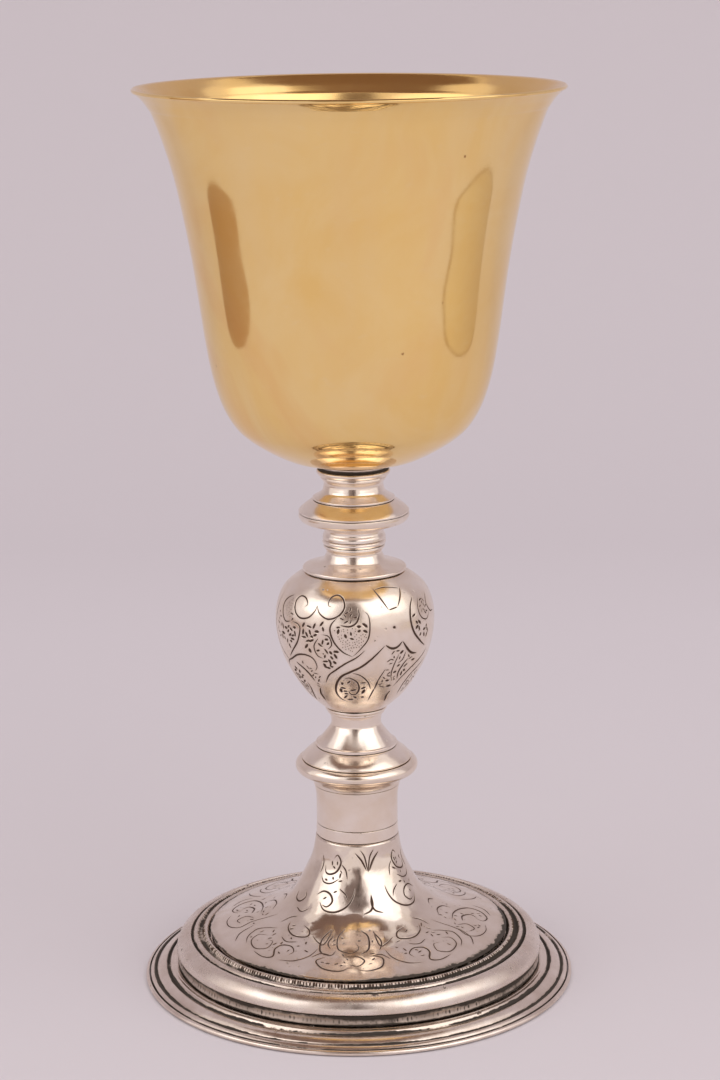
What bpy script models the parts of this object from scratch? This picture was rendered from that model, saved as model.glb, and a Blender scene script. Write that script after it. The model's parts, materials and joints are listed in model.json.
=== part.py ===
"""Communion chalice: a gilt bowl on a turned and engraved silver stem and foot.

Every stem piece is a hollow sleeve threaded on one tie rod.  The rod is fixed to
the seat under the bowl, runs down the axis and ends inside the foot, where a
washer and a hexagonal nut pull the whole stack together.

The base rests on z = 0 and the axis of the cup is +Z.  Outlines are written in
millimetres as (radius, height) pairs and scaled to metres when they are meshed.
"""
import math

import bmesh
import bpy

MM = 0.001
COLLECTION = "communion_chalice"
CUTTERS = "cutters"

# Driving dimensions, in millimetres.
TOTAL_HEIGHT = 240.0
RIM_RADIUS = 55.6
BASE_RADIUS = 58.5
BOWL_WALL = 1.1
SHEET_WALL = 1.2
JOINT_GAP = 0.3          # clear space between two neighbouring pieces

# Heights of the seams between the stacked pieces, top to bottom.
BOWL_BOTTOM_Z = 142.0
COLLAR_FOOT_Z = 139.0
NECK_FOOT_Z = 132.6
KNOP_EQUATOR_Z = 129.1
SPOOL_TOP_Z = 121.9
SPOOL_FOOT_Z = 120.3
SHOULDER_Z = 113.5
NODE_FOOT_Z = 75.8
RING_FOOT_Z = 74.7
LOWER_NECK_FOOT_Z = 64.8
LOWER_KNOP_SEAM_Z = 61.1
SLEEVE_TOP_Z = 54.0
SLEEVE_FOOT_Z = 43.1
BAND_FOOT_Z = 39.8
DOME_EDGE_Z = 12.8
LEDGE_Z = 10.9
STEP_FOOT_Z = 7.2
FLANGE_TOP_Z = 3.9

# Widths that several pieces share.
LIP_RADIUS = 9.75
NODE_RADIUS = 21.2
NODE_EQUATOR_Z = 100.5
SLEEVE_RADIUS = 11.0
DOME_RADIUS = 40.6
STEP_RADIUS = 49.9

# Tie rod and its nut: a quarter-inch rod with twenty threads to the inch.
ROD_RADIUS = 3.175
ROD_FOOT_Z = 6.5
BORE_RADIUS = 3.6
SEAT_RADIUS = 6.6
WASHER_TOP_Z = 21.3
WASHER_THICKNESS = 1.6
NUT_HEIGHT = 5.5
NUT_ACROSS_FLATS = 11.2
NUT_CHAMFER_ANGLE = math.radians(30)

# Segments around the axis.
FINE_STEPS = 40
STEM_STEPS = 24
HARDWARE_STEPS = 16


# --- outlines ---------------------------------------------------------------

def arc(start, end, sagitta, count=4):
    """Points of a circular arc from start to end, both included.

    A positive sagitta bows the arc to the left of its direction, which is
    outwards for an arc that runs down the outer side.
    """
    (x0, z0), (x1, z1) = start, end
    chord = math.hypot(x1 - x0, z1 - z0)
    left = (-(z1 - z0) / chord, (x1 - x0) / chord)
    radius = (chord * chord / 4 + sagitta * sagitta) / (2 * abs(sagitta))
    half_angle = math.asin(min(1.0, chord / (2 * radius)))
    side = math.copysign(1.0, sagitta)
    points = []
    for step in range(count + 1):
        angle = half_angle * (2 * step / count - 1)
        along = 0.5 + radius * math.sin(angle) / chord
        rise = radius * (math.cos(angle) - math.cos(half_angle)) * side
        points.append((x0 + (x1 - x0) * along + left[0] * rise,
                       z0 + (z1 - z0) * along + left[1] * rise))
    return points


def spline(knots, per_span=2):
    """A smooth curve through the knots, with per_span points in each span."""
    ends = [mirrored(knots[1], knots[0])] + list(knots) + [mirrored(knots[-2], knots[-1])]
    points = []
    for index in range(len(knots) - 1):
        p0, p1, p2, p3 = ends[index:index + 4]
        for step in range(per_span):
            t = step / per_span
            points.append(tuple(catmull_rom(p0[k], p1[k], p2[k], p3[k], t) for k in (0, 1)))
    points.append(tuple(knots[-1]))
    return points


def mirrored(point, centre):
    """The point on the far side of centre, as far away as point."""
    return (2 * centre[0] - point[0], 2 * centre[1] - point[1])


def catmull_rom(p0, p1, p2, p3, t):
    """One coordinate of a Catmull-Rom span at parameter t."""
    return 0.5 * (2 * p1 + (p2 - p0) * t + (2 * p0 - 5 * p1 + 4 * p2 - p3) * t * t
                  + (3 * p1 - p0 - 3 * p2 + p3) * t ** 3)


def inset(points, wall):
    """The open outline moved by one wall thickness to its inner side."""
    moved = []
    for index, (r, z) in enumerate(points):
        before = points[max(index - 1, 0)]
        after = points[min(index + 1, len(points) - 1)]
        dr, dz = after[0] - before[0], after[1] - before[1]
        length = math.hypot(dr, dz)
        moved.append((r + wall * dz / length, z - wall * dr / length))
    return moved


def shell(outer, wall):
    """Closed outline of a sheet whose outer side is given, top to bottom."""
    return outer + inset(outer, wall)[::-1]


def sleeve(outer, bore, top_bore=None):
    """Closed outline of a turned piece with a bore through it."""
    top_bore = bore if top_bore is None else top_bore
    return [(top_bore, outer[0][1])] + outer + [(bore, outer[-1][1])]


# --- meshes and materials ---------------------------------------------------

def make_collection(name):
    """A new collection under the scene."""
    collection = bpy.data.collections.new(name)
    bpy.context.scene.collection.children.link(collection)
    return collection


def make_material(name, colour, roughness, metallic=1.0):
    """A Principled material with one colour."""
    material = bpy.data.materials.new(name)
    material.use_nodes = True
    shader = material.node_tree.nodes["Principled BSDF"]
    shader.inputs["Base Color"].default_value = (*colour, 1.0)
    shader.inputs["Roughness"].default_value = roughness
    shader.inputs["Metallic"].default_value = metallic
    material.diffuse_color = (*colour, 1.0)
    return material


def add_object(name, mesh, collection):
    """A new object for the mesh, linked to the collection."""
    item = bpy.data.objects.new(name, mesh)
    collection.objects.link(item)
    return item


def turned(name, outline, collection, steps=STEM_STEPS, closed=True, base_z=0.0):
    """A body turned about the Z axis from a (radius, height) outline."""
    mesh = bpy.data.meshes.new(name)
    vertices = [(r * MM, 0.0, (z - base_z) * MM) for r, z in outline]
    edges = [(i, i + 1) for i in range(len(outline) - 1)]
    if closed:
        edges.append((len(outline) - 1, 0))
    mesh.from_pydata(vertices, edges, [])
    item = add_object(name, mesh, collection)
    item.location.z = base_z * MM
    screw = item.modifiers.new("turn", "SCREW")
    screw.axis = "Z"
    screw.angle = math.tau
    screw.steps = screw.render_steps = steps
    screw.use_merge_vertices = True
    screw.merge_threshold = 0.00001
    screw.use_smooth_shade = True
    return item


def finish(item, material):
    """Give the piece its own material and shade its round faces smooth."""
    item.data.materials.append(material)
    if item.data.polygons:
        item.data.shade_smooth()
        item.data.set_sharp_from_angle(angle=math.radians(40))


def boolean(item, cutter, operation):
    """Combine the item with a cutter that stays out of the finished object."""
    cut = item.modifiers.new(cutter.name, "BOOLEAN")
    cut.operation = operation
    cut.object = cutter
    cutter.hide_render = True
    cutter.display_type = "WIRE"


# --- bowl and its fixing ----------------------------------------------------

def bowl_outline():
    """Inside centre, up the inner wall, over the rim and down to the base."""
    wall_knots = [(RIM_RADIUS - 0.8, TOTAL_HEIGHT - 1.1), (53.0, 237.2), (51.4, 235.0), (49.9, 232.0),
                  (45.4, 218.0), (41.1, 196.0), (38.1, 174.5), (35.1, 160.8), (29.5, 151.0),
                  (18.1, 143.9), (LIP_RADIUS, BOWL_BOTTOM_Z)]
    outer = spline(wall_knots)
    inner = inset(outer, BOWL_WALL)
    floor_z = BOWL_BOTTOM_Z + BOWL_WALL
    rim = [(RIM_RADIUS - 0.9, TOTAL_HEIGHT - 0.1), (RIM_RADIUS - 0.4, TOTAL_HEIGHT),
           (RIM_RADIUS, TOTAL_HEIGHT - 0.4), (RIM_RADIUS - 0.2, TOTAL_HEIGHT - 0.9)]
    return ([(0.0, floor_z)] + inner[::-1] + rim + outer + [(0.0, BOWL_BOTTOM_Z)])


def make_bowl(parts):
    """Spun cup with a flared, softly rolled rim."""
    return turned("bowl", bowl_outline(), parts, FINE_STEPS, closed=False)


def make_bowl_seat(parts):
    """Disc soldered under the bowl, which carries the tie rod."""
    top = BOWL_BOTTOM_Z - JOINT_GAP
    outline = [(BORE_RADIUS, top), (SEAT_RADIUS - 0.4, top), (SEAT_RADIUS, top - 0.4),
               (SEAT_RADIUS, COLLAR_FOOT_Z), (BORE_RADIUS, COLLAR_FOOT_Z)]
    return turned("bowl_seat", outline, parts)


def make_tie_rod(parts):
    """Rod on the axis, chamfered at its threaded lower end."""
    top = BOWL_BOTTOM_Z - JOINT_GAP
    chamfer = 0.6
    outline = [(0.0, top), (ROD_RADIUS, top), (ROD_RADIUS, ROD_FOOT_Z + chamfer),
               (ROD_RADIUS - chamfer, ROD_FOOT_Z), (0.0, ROD_FOOT_Z)]
    return turned("tie_rod", outline, parts, HARDWARE_STEPS, closed=False)


# --- stem, top to bottom ----------------------------------------------------

def make_top_collar(parts):
    """Fillet under the bowl, a hollow and a rounded lip."""
    top = BOWL_BOTTOM_Z - JOINT_GAP
    outer = [(9.0, top), (9.3, top - 0.1), (9.3, top - 0.35)]
    outer += arc((9.0, top - 0.45), (LIP_RADIUS - 0.1, 140.2), -0.25, 3)
    outer += [(LIP_RADIUS, 140.0)] + arc((LIP_RADIUS, 139.6), (9.1, COLLAR_FOOT_Z), 0.1, 2)
    return turned("top_collar", sleeve(outer, SEAT_RADIUS + JOINT_GAP), parts)


def make_upper_neck(parts):
    """Waisted neck that flares into a thin disc."""
    top = COLLAR_FOOT_Z - JOINT_GAP
    outer = arc((8.6, top), (8.3, 137.6), 0.25, 2)
    outer += spline([(7.85, 136.7), (8.4, 134.5), (10.4, 133.1)])
    outer += [(10.85, 132.9), (10.85, NECK_FOOT_Z)]
    return turned("upper_neck", sleeve(outer, BORE_RADIUS), parts)


def make_upper_knop_cap(parts):
    """Low cone that covers the upper knop."""
    top = NECK_FOOT_Z - JOINT_GAP
    outer = arc((10.7, top), (14.6, KNOP_EQUATOR_Z + 0.3), 0.25, 3)
    outer += [(14.6, KNOP_EQUATOR_Z)]
    return turned("upper_knop_cap", sleeve(outer, BORE_RADIUS), parts)


def make_upper_knop_ring(parts):
    """Rounded rim of the upper knop, drawn in to a neck below."""
    outer = arc((14.6, KNOP_EQUATOR_Z - JOINT_GAP), (12.6, 126.3), 0.85, 4)
    outer += spline([(10.2, 125.5), (7.8, 124.3), (8.3, 122.6)])
    outer += [(8.4, SPOOL_TOP_Z)]
    return turned("upper_knop_ring", sleeve(outer, BORE_RADIUS), parts)


def make_spool_band(parts):
    """Narrow bead between the two necks above the node."""
    outer = arc((8.1, SPOOL_TOP_Z - JOINT_GAP), (8.1, SPOOL_FOOT_Z), 0.35, 3)
    return turned("spool_band", sleeve(outer, BORE_RADIUS), parts)


def make_middle_neck(parts):
    """Neck that spreads into the disc lying on the node."""
    top = SPOOL_FOOT_Z - JOINT_GAP
    outer = arc((8.1, top), (7.8, 119.1), 0.25, 2)
    outer += spline([(7.35, 118.2), (8.7, 115.7), (13.4, 114.2)])
    outer += [(13.75, 113.9), (13.75, SHOULDER_Z)]
    return turned("middle_neck", sleeve(outer, BORE_RADIUS), parts)


def node_knots():
    """Main points of the pear-shaped node, top to bottom."""
    return [(13.2, SHOULDER_Z - JOINT_GAP), (19.0, 108.5), (NODE_RADIUS, NODE_EQUATOR_Z),
            (19.3, 90.2), (13.6, 80.3), (8.5, NODE_FOOT_Z)]


def make_node_shell(parts):
    """Hollow pear-shaped node, open at both ends."""
    return turned("node_shell", shell(spline(node_knots()), SHEET_WALL), parts, FINE_STEPS)


def make_node_base_ring(parts):
    """Small bead under the node."""
    outer = arc((8.0, NODE_FOOT_Z - JOINT_GAP), (7.9, RING_FOOT_Z), 0.4, 3)
    return turned("node_base_ring", sleeve(outer, BORE_RADIUS), parts)


def make_lower_neck(parts):
    """Slim neck that spreads onto the lower knop."""
    top = RING_FOOT_Z - JOINT_GAP
    outer = [(7.7, top), (7.7, top - 0.5)]
    outer += spline([(7.2, 73.6), (6.8, 70.3), (10.3, 65.7)])
    outer += [(10.9, 65.4), (10.9, LOWER_NECK_FOOT_Z)]
    return turned("lower_neck", sleeve(outer, BORE_RADIUS), parts)


def make_lower_knop_cap(parts):
    """Low cone that covers the lower knop."""
    top = LOWER_NECK_FOOT_Z - JOINT_GAP
    outer = arc((10.8, top), (14.7, LOWER_KNOP_SEAM_Z + 0.3), 0.3, 3)
    outer += [(14.7, LOWER_KNOP_SEAM_Z)]
    return turned("lower_knop_cap", sleeve(outer, BORE_RADIUS), parts)


def make_lower_knop_ring(parts):
    """Rounded rim of the lower knop, drawn in to the stem."""
    outer = [(14.9, LOWER_KNOP_SEAM_Z - JOINT_GAP)]
    outer += arc((15.6, 60.6), (15.2, 57.2), 1.1, 4)
    outer += arc((13.4, 56.2), (11.7, SLEEVE_TOP_Z), -0.35, 3)
    return turned("lower_knop_ring", sleeve(outer, BORE_RADIUS), parts)


def make_stem_sleeve(parts):
    """Plain tube below the lower knop."""
    top = SLEEVE_TOP_Z - JOINT_GAP
    outer = arc((11.6, top), (SLEEVE_RADIUS, 49.0), -0.15, 3) + [(SLEEVE_RADIUS, SLEEVE_FOOT_Z)]
    return turned("stem_sleeve", sleeve(outer, SLEEVE_RADIUS - SHEET_WALL), parts)


def make_stem_band(parts):
    """Plain band at the top of the foot."""
    outer = [(SLEEVE_RADIUS, SLEEVE_FOOT_Z - JOINT_GAP), (11.15, BAND_FOOT_Z)]
    return turned("stem_band", sleeve(outer, SLEEVE_RADIUS - SHEET_WALL), parts)


# --- foot -------------------------------------------------------------------

def dome_knots():
    """Main points of the trumpet and the low plate it runs out into."""
    return [(11.2, BAND_FOOT_Z - JOINT_GAP), (12.2, 33.9), (14.6, 28.4), (18.8, 21.8),
            (26.5, 17.0), (34.5, 14.8), (DOME_RADIUS, DOME_EDGE_Z)]


def make_foot_dome(parts):
    """Raised sheet that forms the trumpet and the engraved plate."""
    return turned("foot_dome", shell(spline(dome_knots()), SHEET_WALL), parts, FINE_STEPS)


def make_milled_wire(parts):
    """Half-round wire soldered round the plate."""
    inner, outer_edge = DOME_RADIUS + JOINT_GAP, 45.4
    base = LEDGE_Z + JOINT_GAP
    outer = [(inner, base + 0.9)] + arc((inner + 0.4, base + 1.3), (outer_edge, base + 0.5), 0.5, 3)
    outer += [(outer_edge, base), (inner, base)]
    return turned("milled_wire", outer, parts, FINE_STEPS)


def make_foot_step(parts):
    """Convex moulding with the ledge that carries the plate."""
    ledge_inner = 39.4
    outer = [(ledge_inner, LEDGE_Z), (45.7, LEDGE_Z), (46.0, 11.4)]
    outer += arc((46.4, 11.5), (STEP_RADIUS, STEP_FOOT_Z + 0.4), 0.9, 4)
    outer += [(STEP_RADIUS, STEP_FOOT_Z), (STEP_RADIUS - SHEET_WALL, STEP_FOOT_Z)]
    outer += [(45.6, 9.7), (ledge_inner, 9.7)]
    return turned("foot_step", outer, parts, FINE_STEPS)


def make_gallery_band(parts):
    """Upright band between the moulding and the flange."""
    outer_radius = STEP_RADIUS - 0.3
    top = STEP_FOOT_Z - JOINT_GAP
    bottom = FLANGE_TOP_Z + JOINT_GAP
    outline = [(outer_radius - SHEET_WALL, top), (outer_radius, top), (outer_radius, bottom),
               (outer_radius - SHEET_WALL, bottom)]
    return turned("gallery_band", outline, parts, FINE_STEPS)


def make_base_flange(parts):
    """Spread flange with a bead at its inner edge and two rounded steps."""
    inner = STEP_RADIUS - 1.5
    outer = [(inner, FLANGE_TOP_Z), (50.4, FLANGE_TOP_Z)]
    outer += arc((50.6, FLANGE_TOP_Z - 0.1), (51.9, 3.1), 0.3, 2)
    outer += [(52.2, 2.7)] + arc((52.5, 3.0), (55.2, 2.0), 0.3, 3)
    outer += [(55.5, 1.6)] + arc((55.8, 1.8), (57.3, 1.1), 0.2, 2)
    outer += [(57.3, 0.0), (53.0, 0.0), (50.8, 2.4), (inner, 2.5)]
    return turned("base_flange", outer, parts, FINE_STEPS)


def make_base_rim_wire(parts):
    """Wire round the edge of the flange, which meets the table."""
    inner = 57.3 + JOINT_GAP
    outer = [(inner, 1.1)] + arc((inner + 0.2, 1.1), (BASE_RADIUS - 0.1, 0.0), 0.3, 3)
    outer += [(inner, 0.0)]
    return turned("base_rim_wire", outer, parts, FINE_STEPS)


# --- hardware inside the foot -----------------------------------------------

def make_throat_bush(parts):
    """Disc soldered inside the trumpet, against which the washer is pulled."""
    top, bottom = 25.0, WASHER_TOP_Z + JOINT_GAP
    outer = [(14.0, top), (15.7, bottom)]
    return turned("throat_bush", sleeve(outer, BORE_RADIUS), parts)


def make_clamp_washer(parts):
    """Washer between the bush and the nut."""
    bottom = WASHER_TOP_Z - WASHER_THICKNESS
    chamfer = 0.4
    outer = [(9.5, WASHER_TOP_Z), (9.5, bottom + chamfer), (9.5 - chamfer, bottom)]
    return turned("clamp_washer", sleeve(outer, BORE_RADIUS), parts, HARDWARE_STEPS)


def make_tie_nut(parts, cutters):
    """Hexagonal nut, chamfered at both ends, on the end of the rod."""
    top = WASHER_TOP_Z - WASHER_THICKNESS - JOINT_GAP
    centre = top - NUT_HEIGHT / 2
    corner = NUT_ACROSS_FLATS / 2 / math.cos(math.radians(30))
    mesh = bpy.data.meshes.new("tie_nut")
    form = bmesh.new()
    bmesh.ops.create_cone(form, cap_ends=True, segments=6, radius1=corner * MM,
                          radius2=corner * MM, depth=NUT_HEIGHT * MM)
    form.to_mesh(mesh)
    form.free()
    nut = add_object("tie_nut", mesh, parts)
    nut.location.z = centre * MM
    half, face = NUT_HEIGHT / 2, NUT_ACROSS_FLATS / 2 - 0.2
    drop = (corner + 0.1 - face) * math.tan(NUT_CHAMFER_ANGLE)
    barrel = [(BORE_RADIUS - 0.12, half), (face, half), (corner + 0.1, half - drop),
              (corner + 0.1, drop - half), (face, -half), (BORE_RADIUS - 0.12, -half)]
    barrel = [(r, z + centre) for r, z in barrel]
    envelope = turned("nut_envelope", barrel, cutters, HARDWARE_STEPS, base_z=centre)
    boolean(nut, envelope, "INTERSECT")
    return nut


# --- assembly ---------------------------------------------------------------

def main():
    """Build every piece and give each its own material."""
    for item in list(bpy.data.objects):
        bpy.data.objects.remove(item)
    parts = make_collection(COLLECTION)
    cutters = make_collection(CUTTERS)

    silver = (0.80, 0.76, 0.73)
    bright_silver = (0.86, 0.82, 0.79)
    dark_silver = (0.10, 0.09, 0.08)
    gilt = (0.83, 0.60, 0.28)
    steel = (0.45, 0.44, 0.43)
    pieces = [
        (make_bowl(parts), gilt, 0.12),
        (make_bowl_seat(parts), gilt, 0.35),
        (make_tie_rod(parts), steel, 0.40),
        (make_top_collar(parts), silver, 0.20),
        (make_upper_neck(parts), silver, 0.20),
        (make_upper_knop_cap(parts), bright_silver, 0.18),
        (make_upper_knop_ring(parts), bright_silver, 0.18),
        (make_spool_band(parts), silver, 0.20),
        (make_middle_neck(parts), silver, 0.20),
        (make_node_shell(parts), silver, 0.28),
        (make_node_base_ring(parts), silver, 0.25),
        (make_lower_neck(parts), silver, 0.20),
        (make_lower_knop_cap(parts), bright_silver, 0.18),
        (make_lower_knop_ring(parts), bright_silver, 0.18),
        (make_stem_sleeve(parts), bright_silver, 0.20),
        (make_stem_band(parts), bright_silver, 0.20),
        (make_foot_dome(parts), silver, 0.28),
        (make_milled_wire(parts), dark_silver, 0.45),
        (make_foot_step(parts), bright_silver, 0.22),
        (make_gallery_band(parts), dark_silver, 0.50),
        (make_base_flange(parts), silver, 0.25),
        (make_base_rim_wire(parts), silver, 0.25),
        (make_throat_bush(parts), silver, 0.45),
        (make_clamp_washer(parts), steel, 0.40),
        (make_tie_nut(parts, cutters), steel, 0.40),
    ]
    for item, colour, roughness in pieces:
        finish(item, make_material(item.name, colour, roughness))


main()
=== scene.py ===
"""Looks of the communion chalice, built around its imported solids.

Each turned piece is spun again at a fine resolution from the outline that its own
solid has in the frame.  The node and the foot get carved engraving, the wire and
the band on the foot get their stamped teeth, and the rod and the nut get a thread.
Outlines are worked out in millimetres as (radius, height); the scene is in metres.
"""

import json
import math
import random

import bmesh
import bpy
import numpy as np
from mathutils import Matrix, Vector
from mathutils.geometry import delaunay_2d_cdt
from mathutils.kdtree import KDTree


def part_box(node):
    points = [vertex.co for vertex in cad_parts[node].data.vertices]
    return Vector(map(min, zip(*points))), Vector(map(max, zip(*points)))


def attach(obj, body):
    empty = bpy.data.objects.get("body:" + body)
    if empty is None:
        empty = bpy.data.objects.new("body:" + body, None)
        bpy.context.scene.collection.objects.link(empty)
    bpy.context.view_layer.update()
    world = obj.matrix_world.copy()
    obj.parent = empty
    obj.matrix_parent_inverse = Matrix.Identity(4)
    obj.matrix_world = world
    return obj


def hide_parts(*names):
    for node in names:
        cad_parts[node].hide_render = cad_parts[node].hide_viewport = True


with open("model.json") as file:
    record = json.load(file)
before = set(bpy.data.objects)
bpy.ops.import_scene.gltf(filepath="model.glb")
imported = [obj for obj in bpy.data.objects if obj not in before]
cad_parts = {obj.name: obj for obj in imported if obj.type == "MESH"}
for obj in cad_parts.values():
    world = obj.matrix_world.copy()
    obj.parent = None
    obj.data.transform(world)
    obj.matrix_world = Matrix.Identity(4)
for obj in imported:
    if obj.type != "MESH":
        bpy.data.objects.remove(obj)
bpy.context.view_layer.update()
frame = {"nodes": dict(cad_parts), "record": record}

MM = 0.001
TINY = 1e-12                 # keeps a division from being one by zero

# --- outlines read from the frame -------------------------------------------

SEAM_TOLERANCE = 2e-6        # how far off the XZ plane a seam vertex may lie, m
WELD_DISTANCE = 1e-6         # m
CORNER_ANGLE = math.radians(50)
FILLET = 0.13                # length cut off each side of a sharp corner, mm
FILLET_STEPS = 3
MAX_TURN = math.radians(5)   # most that a refined outline turns in one step
LONGEST_SIDE = 5.0           # of a refined outline, mm
LONGEST_FOOT_SIDE = 0.22     # the same where dirt rings need a fine outline, mm


def seam_outline(node):
    """The outline of a turned solid in millimetres, and whether it closes."""
    form = bmesh.new()
    form.from_mesh(frame["nodes"][node].data)
    bmesh.ops.remove_doubles(form, verts=form.verts, dist=WELD_DISTANCE)

    def on_seam(vertex):
        return abs(vertex.co.y) < SEAM_TOLERANCE and vertex.co.x > -SEAM_TOLERANCE

    near = {}
    for edge in form.edges:
        a, b = edge.verts
        if on_seam(a) and on_seam(b):
            near.setdefault(a, []).append(b)
            near.setdefault(b, []).append(a)
    ends = [vertex for vertex, others in near.items() if len(others) == 1]
    chain = [max(ends or near, key=lambda vertex: (vertex.co.z, vertex.co.x))]
    while onward := [vertex for vertex in near[chain[-1]] if vertex not in chain]:
        chain.append(onward[0])
    points = np.array([(vertex.co.x / MM, vertex.co.z / MM) for vertex in chain])
    form.free()
    around = np.roll(points, -1, axis=0)
    area = np.sum(points[:, 0] * around[:, 1] - around[:, 0] * points[:, 1])
    return (points[::-1] if area > 0 else points), not ends


def unit(vector):
    """The vector at length one."""
    return vector / max(np.linalg.norm(vector), TINY)


def angle_between(a, b):
    """The angle between two unit vectors."""
    return math.acos(max(-1.0, min(1.0, float(np.dot(a, b)))))


def hermite(p0, p1, t0, t1, count):
    """Points of a cubic from p0 up to, but without, p1, for unit tangents t0 and t1."""
    length = np.linalg.norm(p1 - p0)
    points = []
    for step in range(count):
        s = step / count
        points.append((2 * s**3 - 3 * s**2 + 1) * p0 + (s**3 - 2 * s**2 + s) * length * t0
                      + (3 * s**2 - 2 * s**3) * p1 + (s**3 - s**2) * length * t1)
    return points


def fillet(before, corner, after):
    """A small round in place of a sharp corner."""
    start, end = (corner + unit(other - corner) * min(FILLET, np.linalg.norm(other - corner) / 3)
                  for other in (before, after))
    points = []
    for step in range(FILLET_STEPS + 1):
        s = step / FILLET_STEPS
        points.append((1 - s)**2 * start + 2 * s * (1 - s) * corner + s * s * end)
    return points


def refine(points, closed, longest):
    """The outline with its smooth stretches splined and its corners rounded.

    No side of the result is much longer than longest, in mm.
    """
    count = len(points)
    before, after = np.roll(points, 1, axis=0), np.roll(points, -1, axis=0)
    corner = [angle_between(unit(points[i] - before[i]), unit(after[i] - points[i])) > CORNER_ANGLE
              for i in range(count)]
    tangent = [unit(after[i] - before[i]) for i in range(count)]
    if not closed:
        corner[0] = corner[-1] = False
        tangent[0], tangent[-1] = np.array([1.0, 0.0]), np.array([-1.0, 0.0])
    fine = []
    for i in range(count if closed else count - 1):
        j = (i + 1) % count
        here, there = points[i], points[j]
        chord = unit(there - here)
        if corner[i]:
            *rounded, here = fillet(before[i], here, after[i])
            fine += rounded
        if corner[j]:
            there = fillet(before[j], there, after[j])[0]
        t0 = chord if corner[i] else tangent[i]
        t1 = chord if corner[j] else tangent[j]
        turn = angle_between(t0, chord) + angle_between(t1, chord)
        sides = max(turn / MAX_TURN, float(np.linalg.norm(there - here)) / longest)
        fine += hermite(here, there, t0, t1, max(1, math.ceil(sides)))
    if not closed:
        fine.append(points[-1])
    return np.array(fine)


def outline_normals(points, closed):
    """Outward unit normals of an outline, weighted towards its longer sides."""
    ahead = np.roll(points, -1, axis=0) - points
    behind = points - np.roll(points, 1, axis=0)
    if not closed:
        ahead[-1] = behind[-1]
        behind[0] = ahead[0]
    direction = ahead * np.linalg.norm(ahead, axis=1)[:, None] ** 0.5
    direction = direction + behind * np.linalg.norm(behind, axis=1)[:, None] ** 0.5
    normals = np.stack([-direction[:, 1], direction[:, 0]], axis=1)
    normals /= np.maximum(np.linalg.norm(normals, axis=1), TINY)[:, None]
    if not closed:
        for end in (0, -1):
            normals[end] = [0.0, math.copysign(1.0, normals[end][1])]
    return normals


# --- recess: how closed in each point of an outline is ------------------------

RECESS_REACH = 2.2           # how far a neighbour still shades a point, mm
RECESS_ANGLES = np.radians(np.linspace(-78, 78, 14))
RECESS_LIFT = 0.03           # how far above the surface its rays start, mm


def outline_segments(outlines):
    """Start points and spans of every side of every outline."""
    starts, spans = [], []
    for points, closed in outlines:
        ahead = np.roll(points, -1, axis=0)
        keep = len(points) if closed else len(points) - 1
        starts.append(points[:keep])
        spans.append((ahead - points)[:keep])
    return np.concatenate(starts), np.concatenate(spans)


# The materials darken where this is high: partly patina, partly painted shade.
def recess_of(points, normals):
    """From 0 in the open to 1 where neighbouring outlines close a point in."""
    gap = side_starts[None] - (points + normals * RECESS_LIFT)[:, None]
    span_x, span_y = side_spans[None, :, 0], side_spans[None, :, 1]
    closed_in = np.zeros(len(points))
    for angle in RECESS_ANGLES:
        c, s = math.cos(angle), math.sin(angle)
        ray_x = (normals[:, 0] * c - normals[:, 1] * s)[:, None]
        ray_y = (normals[:, 0] * s + normals[:, 1] * c)[:, None]
        across = ray_x * span_y - ray_y * span_x
        across = np.where(np.abs(across) < TINY, TINY, across)
        along_ray = (gap[..., 0] * span_y - gap[..., 1] * span_x) / across
        along_side = (gap[..., 0] * ray_y - gap[..., 1] * ray_x) / across
        hit = (along_ray > 0) & (along_side >= 0) & (along_side <= 1)
        reach = np.where(hit, along_ray, RECESS_REACH).min(axis=1)
        closed_in += c * (1 - np.minimum(reach, RECESS_REACH) / RECESS_REACH)
    return closed_in / np.sum(np.cos(RECESS_ANGLES))


# The dirt lying in the grooves of the foot: radius and half width of each, in mm.
DIRT_RINGS = ((40.7, 0.45), (45.5, 0.50), (52.3, 0.92), (55.75, 0.80), (57.35, 0.32))
FOOT_HEIGHT = 14.0
FACES_DOWN = -0.2            # a normal below this belongs to the underside of the foot
COLLAR_PAINTED_SHADE = (140.72, 0.62)  # painted shade in the hollow under the bowl: height and half height, mm
DIRT_AND_SHADE_EDGE = 2.2              # how steeply the dirt rings and the painted collar shade thicken from their edges
# How dark the dirt rings and the painted collar shade get at most.
RING_DIRT_MOST, COLLAR_SHADE_MOST = 1.3, 1.15


def dirt_and_shade_band(places, middle, half_width, most):
    """Darkening that thickens towards the middle of a band: dirt in the foot's grooves, painted shade
    in the collar's hollow.
    """
    return np.clip(DIRT_AND_SHADE_EDGE * (1 - np.abs(places - middle) / half_width), 0, most)


def skin_of(node):
    """A node's fine outline, its normals, and its recess with the dirt in its grooves and the painted
    shade in the collar's hollow.
    """
    points, closed = outlines[node]
    normals = outline_normals(points, closed)
    recess = recess_of(points, normals)
    outside = (points[:, 1] < FOOT_HEIGHT) & (normals[:, 1] > FACES_DOWN)
    for radius, half_width in DIRT_RINGS:
        darkening = dirt_and_shade_band(points[:, 0], radius, half_width, RING_DIRT_MOST)
        recess = np.maximum(recess, np.where(outside, darkening, 0))
    # The collar's band is painted shade under the bowl.
    return points, normals, np.maximum(recess, dirt_and_shade_band(points[:, 1], *COLLAR_PAINTED_SHADE, COLLAR_SHADE_MOST))


# --- meshes -------------------------------------------------------------------

def mesh_of(name, vertices, faces):
    """A smooth-shaded mesh."""
    mesh = bpy.data.meshes.new(name)
    mesh.from_pydata([tuple(vertex) for vertex in vertices], [], faces)
    mesh.shade_smooth()
    return mesh


def object_of(mesh, material):
    """An object in the scene with the mesh's name, made of one material."""
    mesh.materials.append(material)
    made = bpy.data.objects.new(mesh.name, mesh)
    bpy.context.scene.collection.objects.link(made)
    return made


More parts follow.
